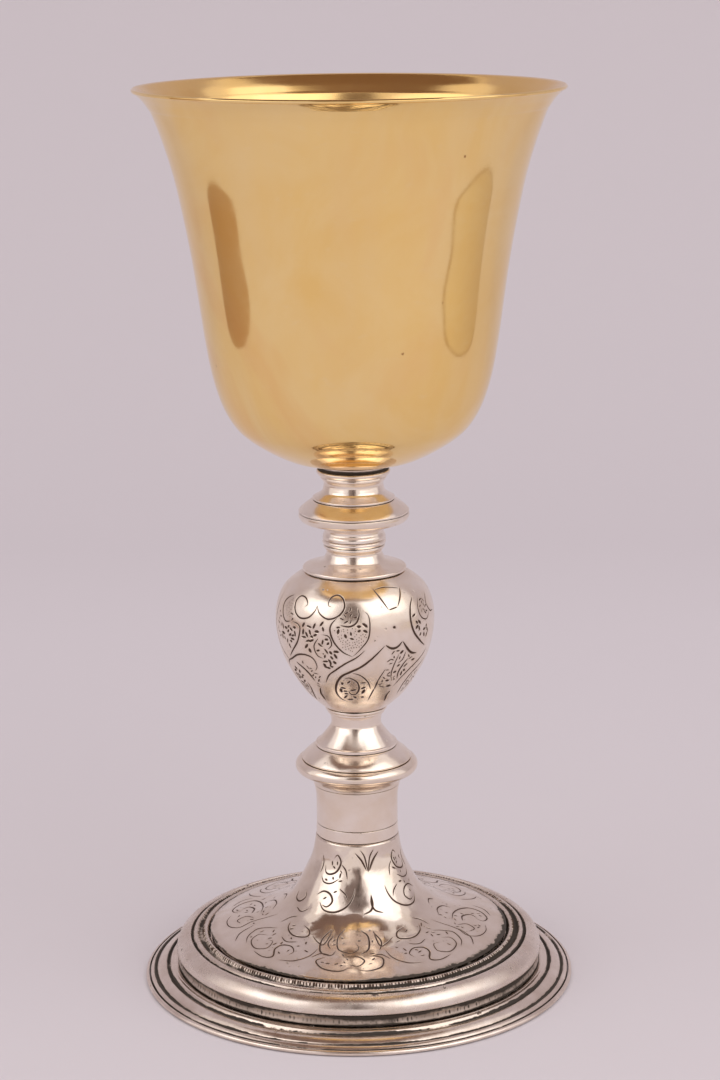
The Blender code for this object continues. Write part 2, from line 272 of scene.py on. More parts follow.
def place_piece(mesh, node, recess=0.0, cut=0.0, near=0.0):
    """Make the piece that stands for a node, on that node's body and in its slot.

    recess, cut and near are what its metal reads at each vertex: how closed in it is,
    how much of an engraved cut it is in, and how close to one it lies.
    """
    for name, values in (("recess", recess), ("cut", cut), ("near", near)):
        attribute = mesh.attributes.new(name, "FLOAT", "POINT")
        values = np.broadcast_to(np.asarray(values, dtype=np.float32), len(mesh.vertices))
        attribute.data.foreach_set("value", np.ascontiguousarray(values))
    piece = object_of(mesh, finish_of(node))
    body = {"clamp_washer": "washer", "tie_nut": "nut"}.get(node, "root")
    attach(piece, body)
    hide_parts(node)


def ring_faces(rings, segments, start=0, closed=False):
    """Quads between rings of points that follow each other, and back to the first if closed."""
    faces = []
    for i in range(rings if closed else rings - 1):
        upper, lower = start + i * segments, start + (i + 1) % rings * segments
        for j in range(segments):
            k = (j + 1) % segments
            faces.append((upper + j, lower + j, lower + k, upper + k))
    return faces


def spin_mesh(points, normals, recess, closed, segments):
    """Vertices, faces, normals and recess of an outline turned about the axis."""
    angles = np.arange(segments) * math.tau / segments
    cos, sin = np.cos(angles), np.sin(angles)
    vertices, out_normals, out_recess, rings = [], [], [], []
    for (r, z), (nr, nz), value in zip(points, normals, recess):
        if r < 1e-4:
            rings.append([len(vertices)] * segments)
            vertices.append((0.0, 0.0, z * MM))
            out_normals.append((0.0, 0.0, math.copysign(1.0, nz)))
            out_recess.append(value)
            continue
        rings.append(list(range(len(vertices), len(vertices) + segments)))
        vertices += list(zip(r * cos * MM, r * sin * MM, [z * MM] * segments))
        out_normals += list(zip(nr * cos, nr * sin, [nz] * segments))
        out_recess += [value] * segments
    faces = []
    for i in range(len(rings) if closed else len(rings) - 1):
        upper, lower = rings[i], rings[(i + 1) % len(rings)]
        for j in range(segments):
            k = (j + 1) % segments
            faces.append(tuple(dict.fromkeys((upper[j], lower[j], lower[k], upper[k]))))
    return vertices, faces, out_normals, out_recess


# --- materials ----------------------------------------------------------------

class Paint:
    """A material under construction; patterns lie in the object's own space."""

    def __init__(self, name):
        self.material = bpy.data.materials.new(name)
        self.material.use_nodes = True
        self.tree = self.material.node_tree
        self.shader = self.tree.nodes["Principled BSDF"].inputs
        place = self.node("ShaderNodeTexCoord")
        self.here, self.outward = place["Object"], place["Normal"]
        self.normal = None

    def node(self, kind, inputs=(), **settings):
        """The outputs of a new node, whose inputs are fed with numbers, colours or sockets."""
        made = self.tree.nodes.new(kind)
        for key, value in settings.items():
            setattr(made, key, value)
        for key, value in dict(inputs).items():
            self.feed(made.inputs[key], value)
        return made.outputs

    def feed(self, socket, value):
        """Link an input to an output, or set it."""
        if isinstance(value, bpy.types.NodeSocket):
            self.tree.links.new(value, socket)
        elif socket.type == "RGBA":
            socket.default_value = (*value, 1.0)
        else:
            socket.default_value = value

    def noise(self, scale, detail=3.0, roughness=0.5, stretch=(1, 1, 1), distortion=0.0):
        """Cloudy noise with so many features to the metre, stretched along the axes."""
        moved = self.node("ShaderNodeMapping", {"Scale": stretch, "Vector": self.here})["Vector"]
        return self.node("ShaderNodeTexNoise", {
            "Scale": scale, "Detail": detail, "Roughness": roughness, "Distortion": distortion,
            "Vector": moved})["Fac"]

    def remap(self, value, low, high, to_low, to_high, smooth=False):
        """The value moved from one range to another, and clamped to it."""
        return self.node("ShaderNodeMapRange", {
            "From Min": low, "From Max": high, "To Min": to_low, "To Max": to_high,
            "Value": value}, interpolation_type="SMOOTHSTEP" if smooth else "LINEAR")["Result"]

    def maths(self, operation, *values):
        """A sum, product or comparison of sockets or numbers."""
        return self.node("ShaderNodeMath", enumerate(values), operation=operation)["Value"]

    def mix(self, factor, a, b):
        """A blend of two colours, given as tuples or sockets."""
        return self.node("ShaderNodeMix", {"Factor": factor, 6: a, 7: b}, data_type="RGBA")[2]

    def value(self, name):
        """What the mesh says at each vertex under a name."""
        return self.node("ShaderNodeAttribute", attribute_name=name)["Fac"]

    def specks(self, scale, solid, edge):
        """Ragged specks: one in the middle of some cells, up to an edge measured in cells."""
        away = self.node("ShaderNodeTexVoronoi", {"Scale": scale, "Vector": self.here})["Distance"]
        ragged = self.remap(self.noise(1500.0, 2.0), 0.3, 0.7, 0.6, 1.4)
        return self.remap(self.maths("MULTIPLY", away, ragged), solid, edge, 1.0, 0.0)

    def bump(self, height, distance, strength=0.6):
        """Bump from a height, on top of the bumps before it."""
        before = {"Normal": self.normal} if self.normal else {}
        self.normal = self.node("ShaderNodeBump", {
            "Distance": distance, "Strength": strength, "Height": height, **before})["Normal"]
        self.feed(self.shader["Normal"], self.normal)


SILVER = (0.94, 0.85, 0.757)
WARM_SILVER = (0.87, 0.74, 0.605)
# The smudged tone and the two patina tones are tarnish colours that also serve as painted shade in
# recesses.
SMUDGE_AND_SHADE = (0.56, 0.45, 0.36)
PATINA_AND_SHADE = (0.070, 0.038, 0.024)
DEEP_PATINA_AND_SHADE = (0.050, 0.039, 0.030)
GOLD = (0.97, 0.665, 0.238)
PALE_GOLD = (0.99, 0.72, 0.30)
WORN_GOLD = (0.95, 0.75, 0.42)
RED_GOLD = (0.95, 0.61, 0.25)
INNER_GOLD = (0.86, 0.525, 0.19)
GOLD_SPECK = (0.42, 0.23, 0.09)


def metal_material(name, bright, warm, dark, gloss, patina_and_shade_limits, smear_and_shade=0.35, relief=0.0001,
                   ragged=0.06, spots=0.0, bosses=0.0):
    """Aged polished metal: dark in its cuts with patina and in its recesses with patina and painted
    shade, pitted, faintly scratched and smeared.

    gloss is the lowest and highest roughness; patina_and_shade_limits is the recess at which
    the dark patina and painted shade start and the one at which they are full; smear_and_shade
    is how far recesses and the ground beside cuts turn to the smudged tone; relief is the depth,
    in metres, of the slow unevenness left by the hammer; ragged is how much the edge of the
    patina and painted shade wanders, spots how strong the larger pits are, and bosses the
    depth of low round swellings.
    """
    paint = Paint(name)
    noise, remap, maths, value = paint.noise, paint.remap, paint.maths, paint.value
    tone = paint.mix(remap(noise(110.0, 4.0, 0.6), 0.35, 0.68, 0.0, 1.0), bright, warm)
    # Recesses and the ground beside cuts turn to a smudged tone: tarnish beside the cuts, and in the
    # recesses partly tarnish and partly painted shade.
    veil = remap(maths("ADD", value("recess"), value("near")), 0.12, 0.75, 0.0, smear_and_shade, smooth=True)
    tone = paint.mix(veil, tone, SMUDGE_AND_SHADE)

    uneven = remap(noise(900.0, 4.0, 0.6), 0.25, 0.75, -0.10, 0.10)
    wander = remap(noise(330.0, 3.0, 0.65), 0.3, 0.7, -ragged, ragged)
    thinned = remap(noise(38.0, 2.0), 0.38, 0.62, -2.6 * ragged, 0.4 * ragged)
    closed_in = value("recess")
    for change in (uneven, wander, thinned):
        closed_in = maths("ADD", closed_in, change)
    # Dark deposit where the surface is closed in: partly patina, partly painted shade in crevices,
    # seams and under overhangs.
    patina_and_shade = remap(closed_in, *patina_and_shade_limits, 0.0, 1.0, smooth=True)
    cuts = remap(maths("ADD", value("cut"), uneven), 0.08, 0.38, 0.0, 1.0, smooth=True)
    rare = remap(noise(170.0, 2.0), 0.59, 0.67, 0.0, 0.85)
    pits = maths("MULTIPLY", paint.specks(380.0, 0.05, 0.14), rare)
    pits = maths("MAXIMUM", pits, remap(paint.specks(110.0, 0.03, 0.11), 0.25, 0.6, 0.0, spots))
    soil_and_shade = maths("MAXIMUM", maths("MAXIMUM", patina_and_shade, cuts), pits)
    darkening = paint.mix(patina_and_shade, dark, DEEP_PATINA_AND_SHADE)

    polish = remap(noise(260.0, 5.0, 0.7), 0.3, 0.7, *gloss)
    paint.feed(paint.shader["Base Color"], paint.mix(soil_and_shade, tone, darkening))
    paint.feed(paint.shader["Roughness"], maths("ADD", polish, maths("MULTIPLY", soil_and_shade, 0.4)))
    paint.feed(paint.shader["Metallic"], maths("SUBTRACT", 1.0, soil_and_shade))
    paint.feed(paint.shader["Specular IOR Level"], 0.25)

    paint.bump(noise(130.0), relief)
    if bosses:
        lumps = paint.node("ShaderNodeTexVoronoi", {"Scale": 150.0, "Vector": paint.here},
                           feature="SMOOTH_F1")["Distance"]
        paint.bump(lumps, -bosses, 1.0)
    lathe_lines = noise(60.0, 2.0, stretch=(1, 1, 40))
    paint.bump(lathe_lines, 0.000006)
    scratches = noise(1300.0, 2.0, stretch=(1, 1, 0.25))
    paint.bump(scratches, 0.0000025)
    paint.bump(pits, -0.00012, 1.0)
    return paint.material


def gilt_material(name):
    """Polished gilding with slow ripples, clouded in swirls, duller inside the bowl."""
    paint = Paint(name)
    noise, remap, maths = paint.noise, paint.remap, paint.maths
    cloud = noise(26.0, 4.0, 0.6, distortion=1.6)
    streak = noise(90.0, 2.0, stretch=(1, 1, 0.12))
    rubbed = noise(260.0, 4.0, 0.6, stretch=(1, 1, 2))
    flush = noise(17.0, 3.0, 0.6, stretch=(1, 1, 0.6), distortion=2.2)
    tone = GOLD
    for pattern, low, high, most, colour in ((cloud, 0.38, 0.62, 1.0, PALE_GOLD),
                                             (streak, 0.35, 0.75, 0.35, WORN_GOLD),
                                             (rubbed, 0.60, 0.80, 0.30, WORN_GOLD),
                                             (flush, 0.50, 0.68, 0.6, RED_GOLD)):
        tone = paint.mix(remap(pattern, low, high, 0.0, most), tone, colour)
    level_normal = paint.node("ShaderNodeVectorMath", {0: paint.outward, 1: (1.0, 1.0, 0.0)},
                              operation="MULTIPLY")["Vector"]
    facing = paint.node("ShaderNodeVectorMath", {0: level_normal, 1: paint.here},
                        operation="DOT_PRODUCT")["Value"]
    inside_bowl = remap(facing, -0.012, -0.004, 1.0, 0.0)
    tone = paint.mix(maths("MULTIPLY", inside_bowl, 0.5), tone, INNER_GOLD)
    tone = paint.mix(paint.specks(47.0, 0.010, 0.026), tone, GOLD_SPECK)

    polish = remap(noise(180.0, 5.0, 0.65), 0.3, 0.7, 0.045, 0.10)
    paint.feed(paint.shader["Base Color"], tone)
    paint.feed(paint.shader["Roughness"], maths("ADD", polish, maths("MULTIPLY", inside_bowl, 0.11)))
    paint.feed(paint.shader["Metallic"], 1.0)
    ripples = noise(34.0, 2.0, 0.4, stretch=(1, 1, 0.6))
    paint.bump(ripples, 0.0004)
    paint.bump(streak, 0.00005)
    fine_lines = noise(500.0, stretch=(1, 1, 6))
    paint.bump(fine_lines, 0.000002, 0.5)
    return paint.material


# --- turned pieces ------------------------------------------------------------

FINE_SEGMENTS = 256
STEM_SEGMENTS = 160
WIDE_PIECES = ("bowl", "foot_step", "base_flange", "base_rim_wire")
FOOT_PIECES = WIDE_PIECES[1:]
STEM_PIECES = ("top_collar", "upper_neck", "upper_knop_cap", "upper_knop_ring", "spool_band",
               "middle_neck", "node_shell", "node_base_ring", "lower_neck", "lower_knop_cap",
               "lower_knop_ring", "stem_sleeve", "stem_band")
ENGRAVED = ("node_shell", "foot_dome")
STAMPED = ("milled_wire", "gallery_band")
HARDWARE = ("tie_rod", "tie_nut")
SLOTS = {part["node"]: part["material_slot"] for part in frame["record"]["subparts"]}
SEAM_CLOSING = 0.17          # how far a stem piece is drawn down over the gap below it, mm
LOWEST_BAND = 0.02           # the height of the band that is drawn down, mm

outlines = {}
for node in sorted(frame["nodes"]):
    if node not in HARDWARE:
        rough_outline, is_closed = seam_outline(node)
        if node in STEM_PIECES:
            foot = rough_outline[:, 1] < rough_outline[:, 1].min() + LOWEST_BAND
            rough_outline[foot, 1] -= SEAM_CLOSING
        longest = LONGEST_FOOT_SIDE if node in FOOT_PIECES else LONGEST_SIDE
        outlines[node] = (refine(rough_outline, is_closed, longest), is_closed)
side_starts, side_spans = outline_segments(outlines.values())

silver = metal_material("polished_silver", SILVER, WARM_SILVER, PATINA_AND_SHADE, (0.13, 0.23),
                        (0.50, 0.80), ragged=0.09)
engraved = metal_material("engraved_silver", SILVER, WARM_SILVER, PATINA_AND_SHADE, (0.17, 0.28),
                          (0.62, 0.90), relief=0.00022, bosses=0.00012)
chased = metal_material("chased_silver", (0.86, 0.765, 0.675), (0.76, 0.645, 0.535), PATINA_AND_SHADE,
                        (0.11, 0.21), (0.62, 0.90), relief=0.00030, ragged=0.2, bosses=0.00060)
worn = metal_material("worn_silver", (0.87, 0.775, 0.69), (0.70, 0.59, 0.50), PATINA_AND_SHADE,
                      (0.15, 0.27), (0.55, 0.85), smear_and_shade=0.5, ragged=0.22, spots=0.9)
oxidised = metal_material("oxidised_silver", (0.50, 0.425, 0.37), (0.25, 0.21, 0.18), DEEP_PATINA_AND_SHADE,
                          (0.28, 0.45), (0.34, 0.76), ragged=0.15)
dulled = metal_material("dulled_silver", (0.81, 0.72, 0.645), (0.69, 0.585, 0.50), PATINA_AND_SHADE,
                        (0.21, 0.33), (0.58, 0.86), ragged=0.20, spots=0.9)
tarnished = metal_material("tarnished_silver", (0.55, 0.47, 0.40), (0.30, 0.24, 0.19), PATINA_AND_SHADE,
                           (0.35, 0.55), (0.40, 0.70))
steel = metal_material("dull_steel", (0.42, 0.40, 0.38), (0.30, 0.26, 0.23), PATINA_AND_SHADE,
                       (0.30, 0.45), (0.40, 0.80))
brass = metal_material("dull_brass", (0.72, 0.52, 0.24), (0.50, 0.35, 0.16), PATINA_AND_SHADE,
                       (0.28, 0.42), (0.40, 0.80))

SLOT_FINISHES = {"gilt_silver": gilt_material("gilt_silver"), "inner_silver": tarnished,
                 "rod_steel": steel, "polished_silver": silver, "nut_brass": brass}
OWN_FINISHES = {"node_shell": engraved, "foot_dome": chased, "milled_wire": dulled,
                "gallery_band": oxidised, "base_flange": worn, "base_rim_wire": worn,
                "foot_step": dulled}


def finish_of(node):
    """The material of the piece that stands for a node."""
    return OWN_FINISHES.get(node) or SLOT_FINISHES[SLOTS[node]]


def make_turned(node):
    """The finely spun piece that stands for a turned solid."""
    points, normals, recess = skin_of(node)
    segments = FINE_SEGMENTS if node in WIDE_PIECES else STEM_SEGMENTS
    vertices, faces, vertex_normals, vertex_recess = spin_mesh(points, normals, recess,
                                                               outlines[node][1], segments)
    mesh = mesh_of(node + "_fine", vertices, faces)
    mesh.validate()
    mesh.normals_split_custom_set_from_vertices([tuple(n) for n in vertex_normals])
    place_piece(mesh, node, recess=vertex_recess)


for node in outlines:
    if node not in ENGRAVED + STAMPED:
        make_turned(node)


# --- engraving ----------------------------------------------------------------

STROKE_SPACING = 0.36        # between samples along a stroke, mm
CURVE_STEPS = 10             # samples of a curve between two of its control points
FINE_STEPS = 4               # samples of a stroke's depth between two of its points
CLEARANCE = 0.16             # from the edge of a stroke to the nearest plain point, mm
SMUDGE_REACH = 0.9           # how far the tarnish spreads beside a stroke, mm
SMUDGE_MOST = 0.5
STROKE_TAPER, DASH_TAPER = 0.45, 0.3   # the smaller, the blunter the ends
NARROWEST = 0.02             # half width of a stroke's thin end, mm
DASH_SHOULDER = 0.4          # how much of a dash keeps its full width
DOT_SIDES = 6
TRIES = 12                   # random places tried for each mark that is wanted
GROOVED = 0.02               # the share of a cut from which a facet is shaded flat
SMALLEST_FACET = 1e-9        # twice its area, mm2
FLAT_TOLERANCE = 1e-6        # below which two flat points are one
ANGLE_TOLERANCE = 1e-9
WELD_DECIMALS = 4            # of a millimetre, to which vertices agree that are one


class Ground:
    """The engraved skin of a turned piece, laid out flat.

    A place on it is an angle about the axis from the front, positive to the right, and
    a conformal depth below the upper edge, both in radians: a drawing keeps its shape.
    """

    def __init__(self, points, normals, recess, seam):
        self.radius, self.height = points.T
        self.across, self.up = normals.T
        self.recess = recess
        self.seam = math.radians(seam)
        step = np.hypot(*np.diff(points, axis=0).T)
        middle = (self.radius[1:] + self.radius[:-1]) / 2
        self.run = np.concatenate([[0.0], np.cumsum(step)])
        self.depth = np.concatenate([[0.0], np.cumsum(step / middle)])

    def place(self, drawn):
        """Flat places of drawn points, each an angle in degrees and a distance down in mm."""
        drawn = np.array(drawn, dtype=float)
        angles = np.radians(drawn[:, 0])
        angles -= math.tau * math.floor((angles.mean() - self.seam) / math.tau)
        return np.stack([angles, np.interp(drawn[:, 1], self.run, self.depth)], axis=1)

    def at(self, depth, values):
        """What an outline value, such as the radius or the recess, is at a depth."""
        return np.interp(depth, self.depth, values)

    def scale(self, depth):
        """Millimetres to the radian at a depth."""
        return self.at(depth, self.radius)


class Marks:
    """Strokes and dots as flat points, edges to keep, and samples of their middle lines."""

    def __init__(self, ground):
        self.ground = ground
        self.points = []
        self.edges = []
        self.samples = []

    def stroke(self, drawn, half_width, cut):
        """A V-shaped stroke through drawn points, thin at both ends."""
        self.flat_stroke(curve_through(self.ground, drawn), half_width, cut, STROKE_TAPER)

    def flat_stroke(self, path, half_width, cut, taper):
        """A V-shaped stroke along a sampled flat path."""
        tangent = np.gradient(path, axis=0)
        tangent /= np.maximum(np.linalg.norm(tangent, axis=1), TINY)[:, None]
        aside = np.stack([-tangent[:, 1], tangent[:, 0]], axis=1)
        half = half_width * np.sin(np.pi * np.linspace(0, 1, len(path))) ** taper
        reach = (half / self.ground.scale(path[:, 1]))[:, None] * aside
        start = len(self.points)
        count = len(path)
        self.points += [*path, *(path + reach)[1:-1], *(path - reach)[1:-1]]
        self.edges += [(start + i, start + i + 1) for i in range(count - 1)]
        for side in range(2):
            first = start + count + side * (count - 2)
            rail = [start, *range(first, first + count - 2), start + count - 1]
            self.edges += list(zip(rail, rail[1:]))
        whole = np.arange(count)
        for i in np.linspace(0, count - 1, FINE_STEPS * (count - 1) + 1):
            x, y, wide = (np.interp(i, whole, values) for values in (*path.T, half))
            self.samples.append((x, y, max(wide, NARROWEST), cut, wide / half_width))

    def dash(self, place, lean, length, half_width, cut):
        """A short straight cut, leaning from the horizontal by an angle."""
        reach = length / 2 / self.ground.scale(place[1])
        offset = np.array([math.cos(lean), math.sin(lean)]) * reach
        path = np.array([place + offset * share for share in (-1, -DASH_SHOULDER, DASH_SHOULDER, 1)])
        self.flat_stroke(path, half_width, cut, DASH_TAPER)

    def dot(self, place, radius, cut):
        """A small round punch mark."""
        start = len(self.points) + 1
        reach = radius / self.ground.scale(place[1])
        self.points += [place] + [place + reach * np.array([math.cos(a), math.sin(a)])
                                  for a in np.arange(DOT_SIDES) * math.tau / DOT_SIDES]
        self.edges += [(start + i, start + (i + 1) % DOT_SIDES) for i in range(DOT_SIDES)]
        self.samples.append((place[0], place[1], radius, cut, 1.0))

    def scatter(self, outline, count, gap, make, generator):
        """Make marks at random places inside a drawn outline, clear of all others."""
        outline = self.ground.place(outline)
        low, high = outline.min(axis=0), outline.max(axis=0)
        scale = self.ground.scale(outline[:, 1].mean())
        taken = np.array(self.samples)
        made = 0
        for _ in range(count * TRIES):
            place = np.array([generator.uniform(low[0], high[0]), generator.uniform(low[1], high[1])])
            if not inside(place, outline):
                continue
            away = np.hypot(*(taken[:, :2] - place).T) * scale - taken[:, 2]
            if away.min() < gap:
                continue
            make(self, place, generator)
            taken = np.vstack([taken, self.samples[-1:], [(place[0], place[1], gap / 2, 0.0, 0.0)]])
            made += 1
            if made == count:
                break


def inside(place, outline):
    """Whether a flat place lies inside a closed outline."""
    x, y = place
    crossings = 0
    for (x0, y0), (x1, y1) in zip(outline, np.roll(outline, -1, axis=0)):
        if (y0 > y) != (y1 > y) and x < x0 + (y - y0) * (x1 - x0) / (y1 - y0):
            crossings += 1
    return crossings % 2 == 1


def curve_through(ground, drawn):
    """Evenly spaced flat samples of a smooth curve through drawn points."""
    knots = ground.place(drawn)
    knots = np.vstack([2 * knots[0] - knots[1], knots, 2 * knots[-1] - knots[-2]])
    dense = []
    for i in range(1, len(knots) - 2):
        p0, p1, p2, p3 = knots[i - 1:i + 3]
        for t in np.arange(CURVE_STEPS) / CURVE_STEPS:
            dense.append(0.5 * (2 * p1 + (p2 - p0) * t + (2 * p0 - 5 * p1 + 4 * p2 - p3) * t * t
                                + (3 * p1 - p0 - 3 * p2 + p3) * t ** 3))
    dense = np.array(dense + [knots[-2]])
    scale = ground.scale((dense[1:, 1] + dense[:-1, 1]) / 2)
    length = np.concatenate([[0.0], np.cumsum(np.hypot(*np.diff(dense, axis=0).T) * scale)])
    even = np.linspace(0, length[-1], max(4, int(length[-1] / STROKE_SPACING) + 1))
    return np.stack([np.interp(even, length, dense[:, k]) for k in range(2)], axis=1)


def grid_points(ground, columns, row_gap):
    """Plain flat points: all of the border, then the inside."""
    rows = int(ground.run[-1] / row_gap) + 1
    depths = np.interp(np.linspace(0, ground.run[-1], rows + 1), ground.run, ground.depth)
    angles = ground.seam + np.arange(columns + 1) * math.tau / columns
    border = [(a, depths[0]) for a in angles] + [(angles[-1], d) for d in depths[1:-1]]
    border += [(a, depths[-1]) for a in angles[::-1]] + [(angles[0], d) for d in depths[-2:0:-1]]
    within = [(a, d) for d in depths[1:-1] for a in angles[1:-1]]
    return np.array(border), np.array(within)


def triangulate(ground, marks, columns, row_gap):
    """Flat vertices, triangles, cut depth (mm), cut share and smudge of an engraved skin."""
    samples = np.array(marks.samples)
    tree = KDTree(len(samples))
    for i, sample in enumerate(samples):
        tree.insert((sample[0], sample[1], 0.0), i)
    tree.balance()

    def away(place):
        """Distance to the nearest sample, and that sample's half width, depth and fade."""
        _, i, distance = tree.find((place[0], place[1], 0.0))
        return distance * ground.scale(place[1]), *samples[i, 2:]

    border, within = grid_points(ground, columns, row_gap)
    plain = []
    for place in within:
        distance, half, _, _ = away(place)
        if distance > half + CLEARANCE:
            plain.append(place)
    given = np.concatenate([border, np.array(marks.points), np.array(plain)])
    edges = [(i, (i + 1) % len(border)) for i in range(len(border))]
    edges += [(a + len(border), b + len(border)) for a, b in marks.edges]
    result = delaunay_2d_cdt([Vector(p) for p in given], edges, [], 0, FLAT_TOLERANCE, True)
    flat = np.array([given[origin[0]] if origin else tuple(vertex)
                     for vertex, origin in zip(result[0], result[3])])
    distance, half, full, fade = np.array([away(place) for place in flat]).T
    open_share = np.maximum(0.0, 1 - distance / half)
    share = open_share * np.minimum(1.0, 0.1 + 1.2 * fade)
    smudge = SMUDGE_MOST * np.maximum(0.0, 1 - np.maximum(0.0, distance - half) / SMUDGE_REACH)
    return flat, np.array(result[2]), full * fade * open_share, share, smudge


def around_axis(angle, across, up):
    """Vectors turned about the axis from the front by an angle."""
    return np.stack([across * np.sin(angle), -across * np.cos(angle), up * np.ones(len(angle))],
                    axis=1)


def corner_index(points, across, up):
    """The outline point that lies furthest in a direction."""
    return int(np.argmax(points[:, 0] * across + points[:, 1] * up))


def engraved_piece(node, seam, columns, row_gap, ends, draw):
    """The engraved skin of a sheet-metal node, closed by its rims and its inner side.

    seam is the angle in degrees where the flat skin is joined, and ends are the
    directions in which its upper and its lower edge lie furthest.
    """
    points, normals, recess = skin_of(node)
    first = corner_index(points, *ends[0])
    points, normals, recess = (np.roll(a, -first, axis=0) for a in (points, normals, recess))
    last = corner_index(points, *ends[1])
    ground = Ground(points[:last + 1], normals[:last + 1], recess[:last + 1], seam)
    marks = Marks(ground)
    draw(marks)
    flat, triangles, cut, share, smudge = triangulate(ground, marks, columns, row_gap)

    angle = flat[:, 0]
    angle = np.where(angle > ground.seam + math.tau - ANGLE_TOLERANCE, ground.seam, angle)
    depth = flat[:, 1]
    across, up = ground.at(depth, ground.across), ground.at(depth, ground.up)
    long = np.hypot(across, up)
    across, up = across / long, up / long
    skin = around_axis(angle, ground.scale(depth) - across * cut,
                       ground.at(depth, ground.height) - up * cut)
    skin_normals = around_axis(angle, across, up)

    around = ground.seam + np.arange(columns) * math.tau / columns
    rest = [*range(last, len(points)), 0]
    vertices = np.concatenate([skin] + [around_axis(around, *points[i]) for i in rest])
    vertex_normals = np.concatenate([skin_normals]
                                    + [around_axis(around, *normals[i]) for i in rest])
    recess = np.concatenate([ground.at(depth, ground.recess), np.repeat(recess[rest], columns)])
    padding = np.zeros(len(rest) * columns)
    share, smudge = np.concatenate([share, padding]), np.concatenate([smudge, padding])

    corners = skin[triangles]
    facing = np.cross(corners[:, 1] - corners[:, 0], corners[:, 2] - corners[:, 0])
    inward = np.sum(facing * skin_normals[triangles[:, 0]], axis=1) < 0
    triangles[inward] = triangles[inward][:, ::-1]
    facing[inward] *= -1
    size = np.linalg.norm(facing, axis=1)
    grooved = share[triangles].max(axis=1) > GROOVED

    _, keep, joined = np.unique(np.round(vertices, WELD_DECIMALS), axis=0, return_index=True,
                                return_inverse=True)
    joined = joined.ravel()
    faces, corner_normals = [], []
    for triangle, groove, area, normal in zip(triangles, grooved, size, facing):
        welded = [int(joined[v]) for v in triangle]
        if len(set(welded)) < 3 or area < SMALLEST_FACET:
            continue
        faces.append(welded)
        corner_normals += [normal / area] * 3 if groove else list(vertex_normals[triangle])
    for quad in ring_faces(len(rest), columns, len(skin)):
        faces.append([int(joined[v]) for v in quad])
        corner_normals += list(vertex_normals[list(quad)])

    mesh = mesh_of(node + "_engraved", vertices[keep] * MM, faces)
    mesh.normals_split_custom_set([tuple(n) for n in corner_normals])
    place_piece(mesh, node, recess[keep], share[keep], smudge[keep])


# Half widths and depths of cuts, mm.
FINE, PLAIN, BOLD = (0.25, 0.10), (0.33, 0.14), (0.45, 0.19)


def dashes(length, half_width, cut):
    """What makes a dash whose length and half width vary between two limits."""
    def make(marks, place, generator):
        marks.dash(place, generator.uniform(0, math.pi), generator.uniform(*length),
                   generator.uniform(*half_width), cut)
    return make


thick_dash = dashes((1.2, 2.3), (0.34, 0.56), 0.20)
thin_dash = dashes((0.9, 1.8), (0.20, 0.32), 0.13)


def punch(marks, place, generator):
    """A punch mark."""
    marks.dot(place, generator.uniform(0.13, 0.21), 0.12)


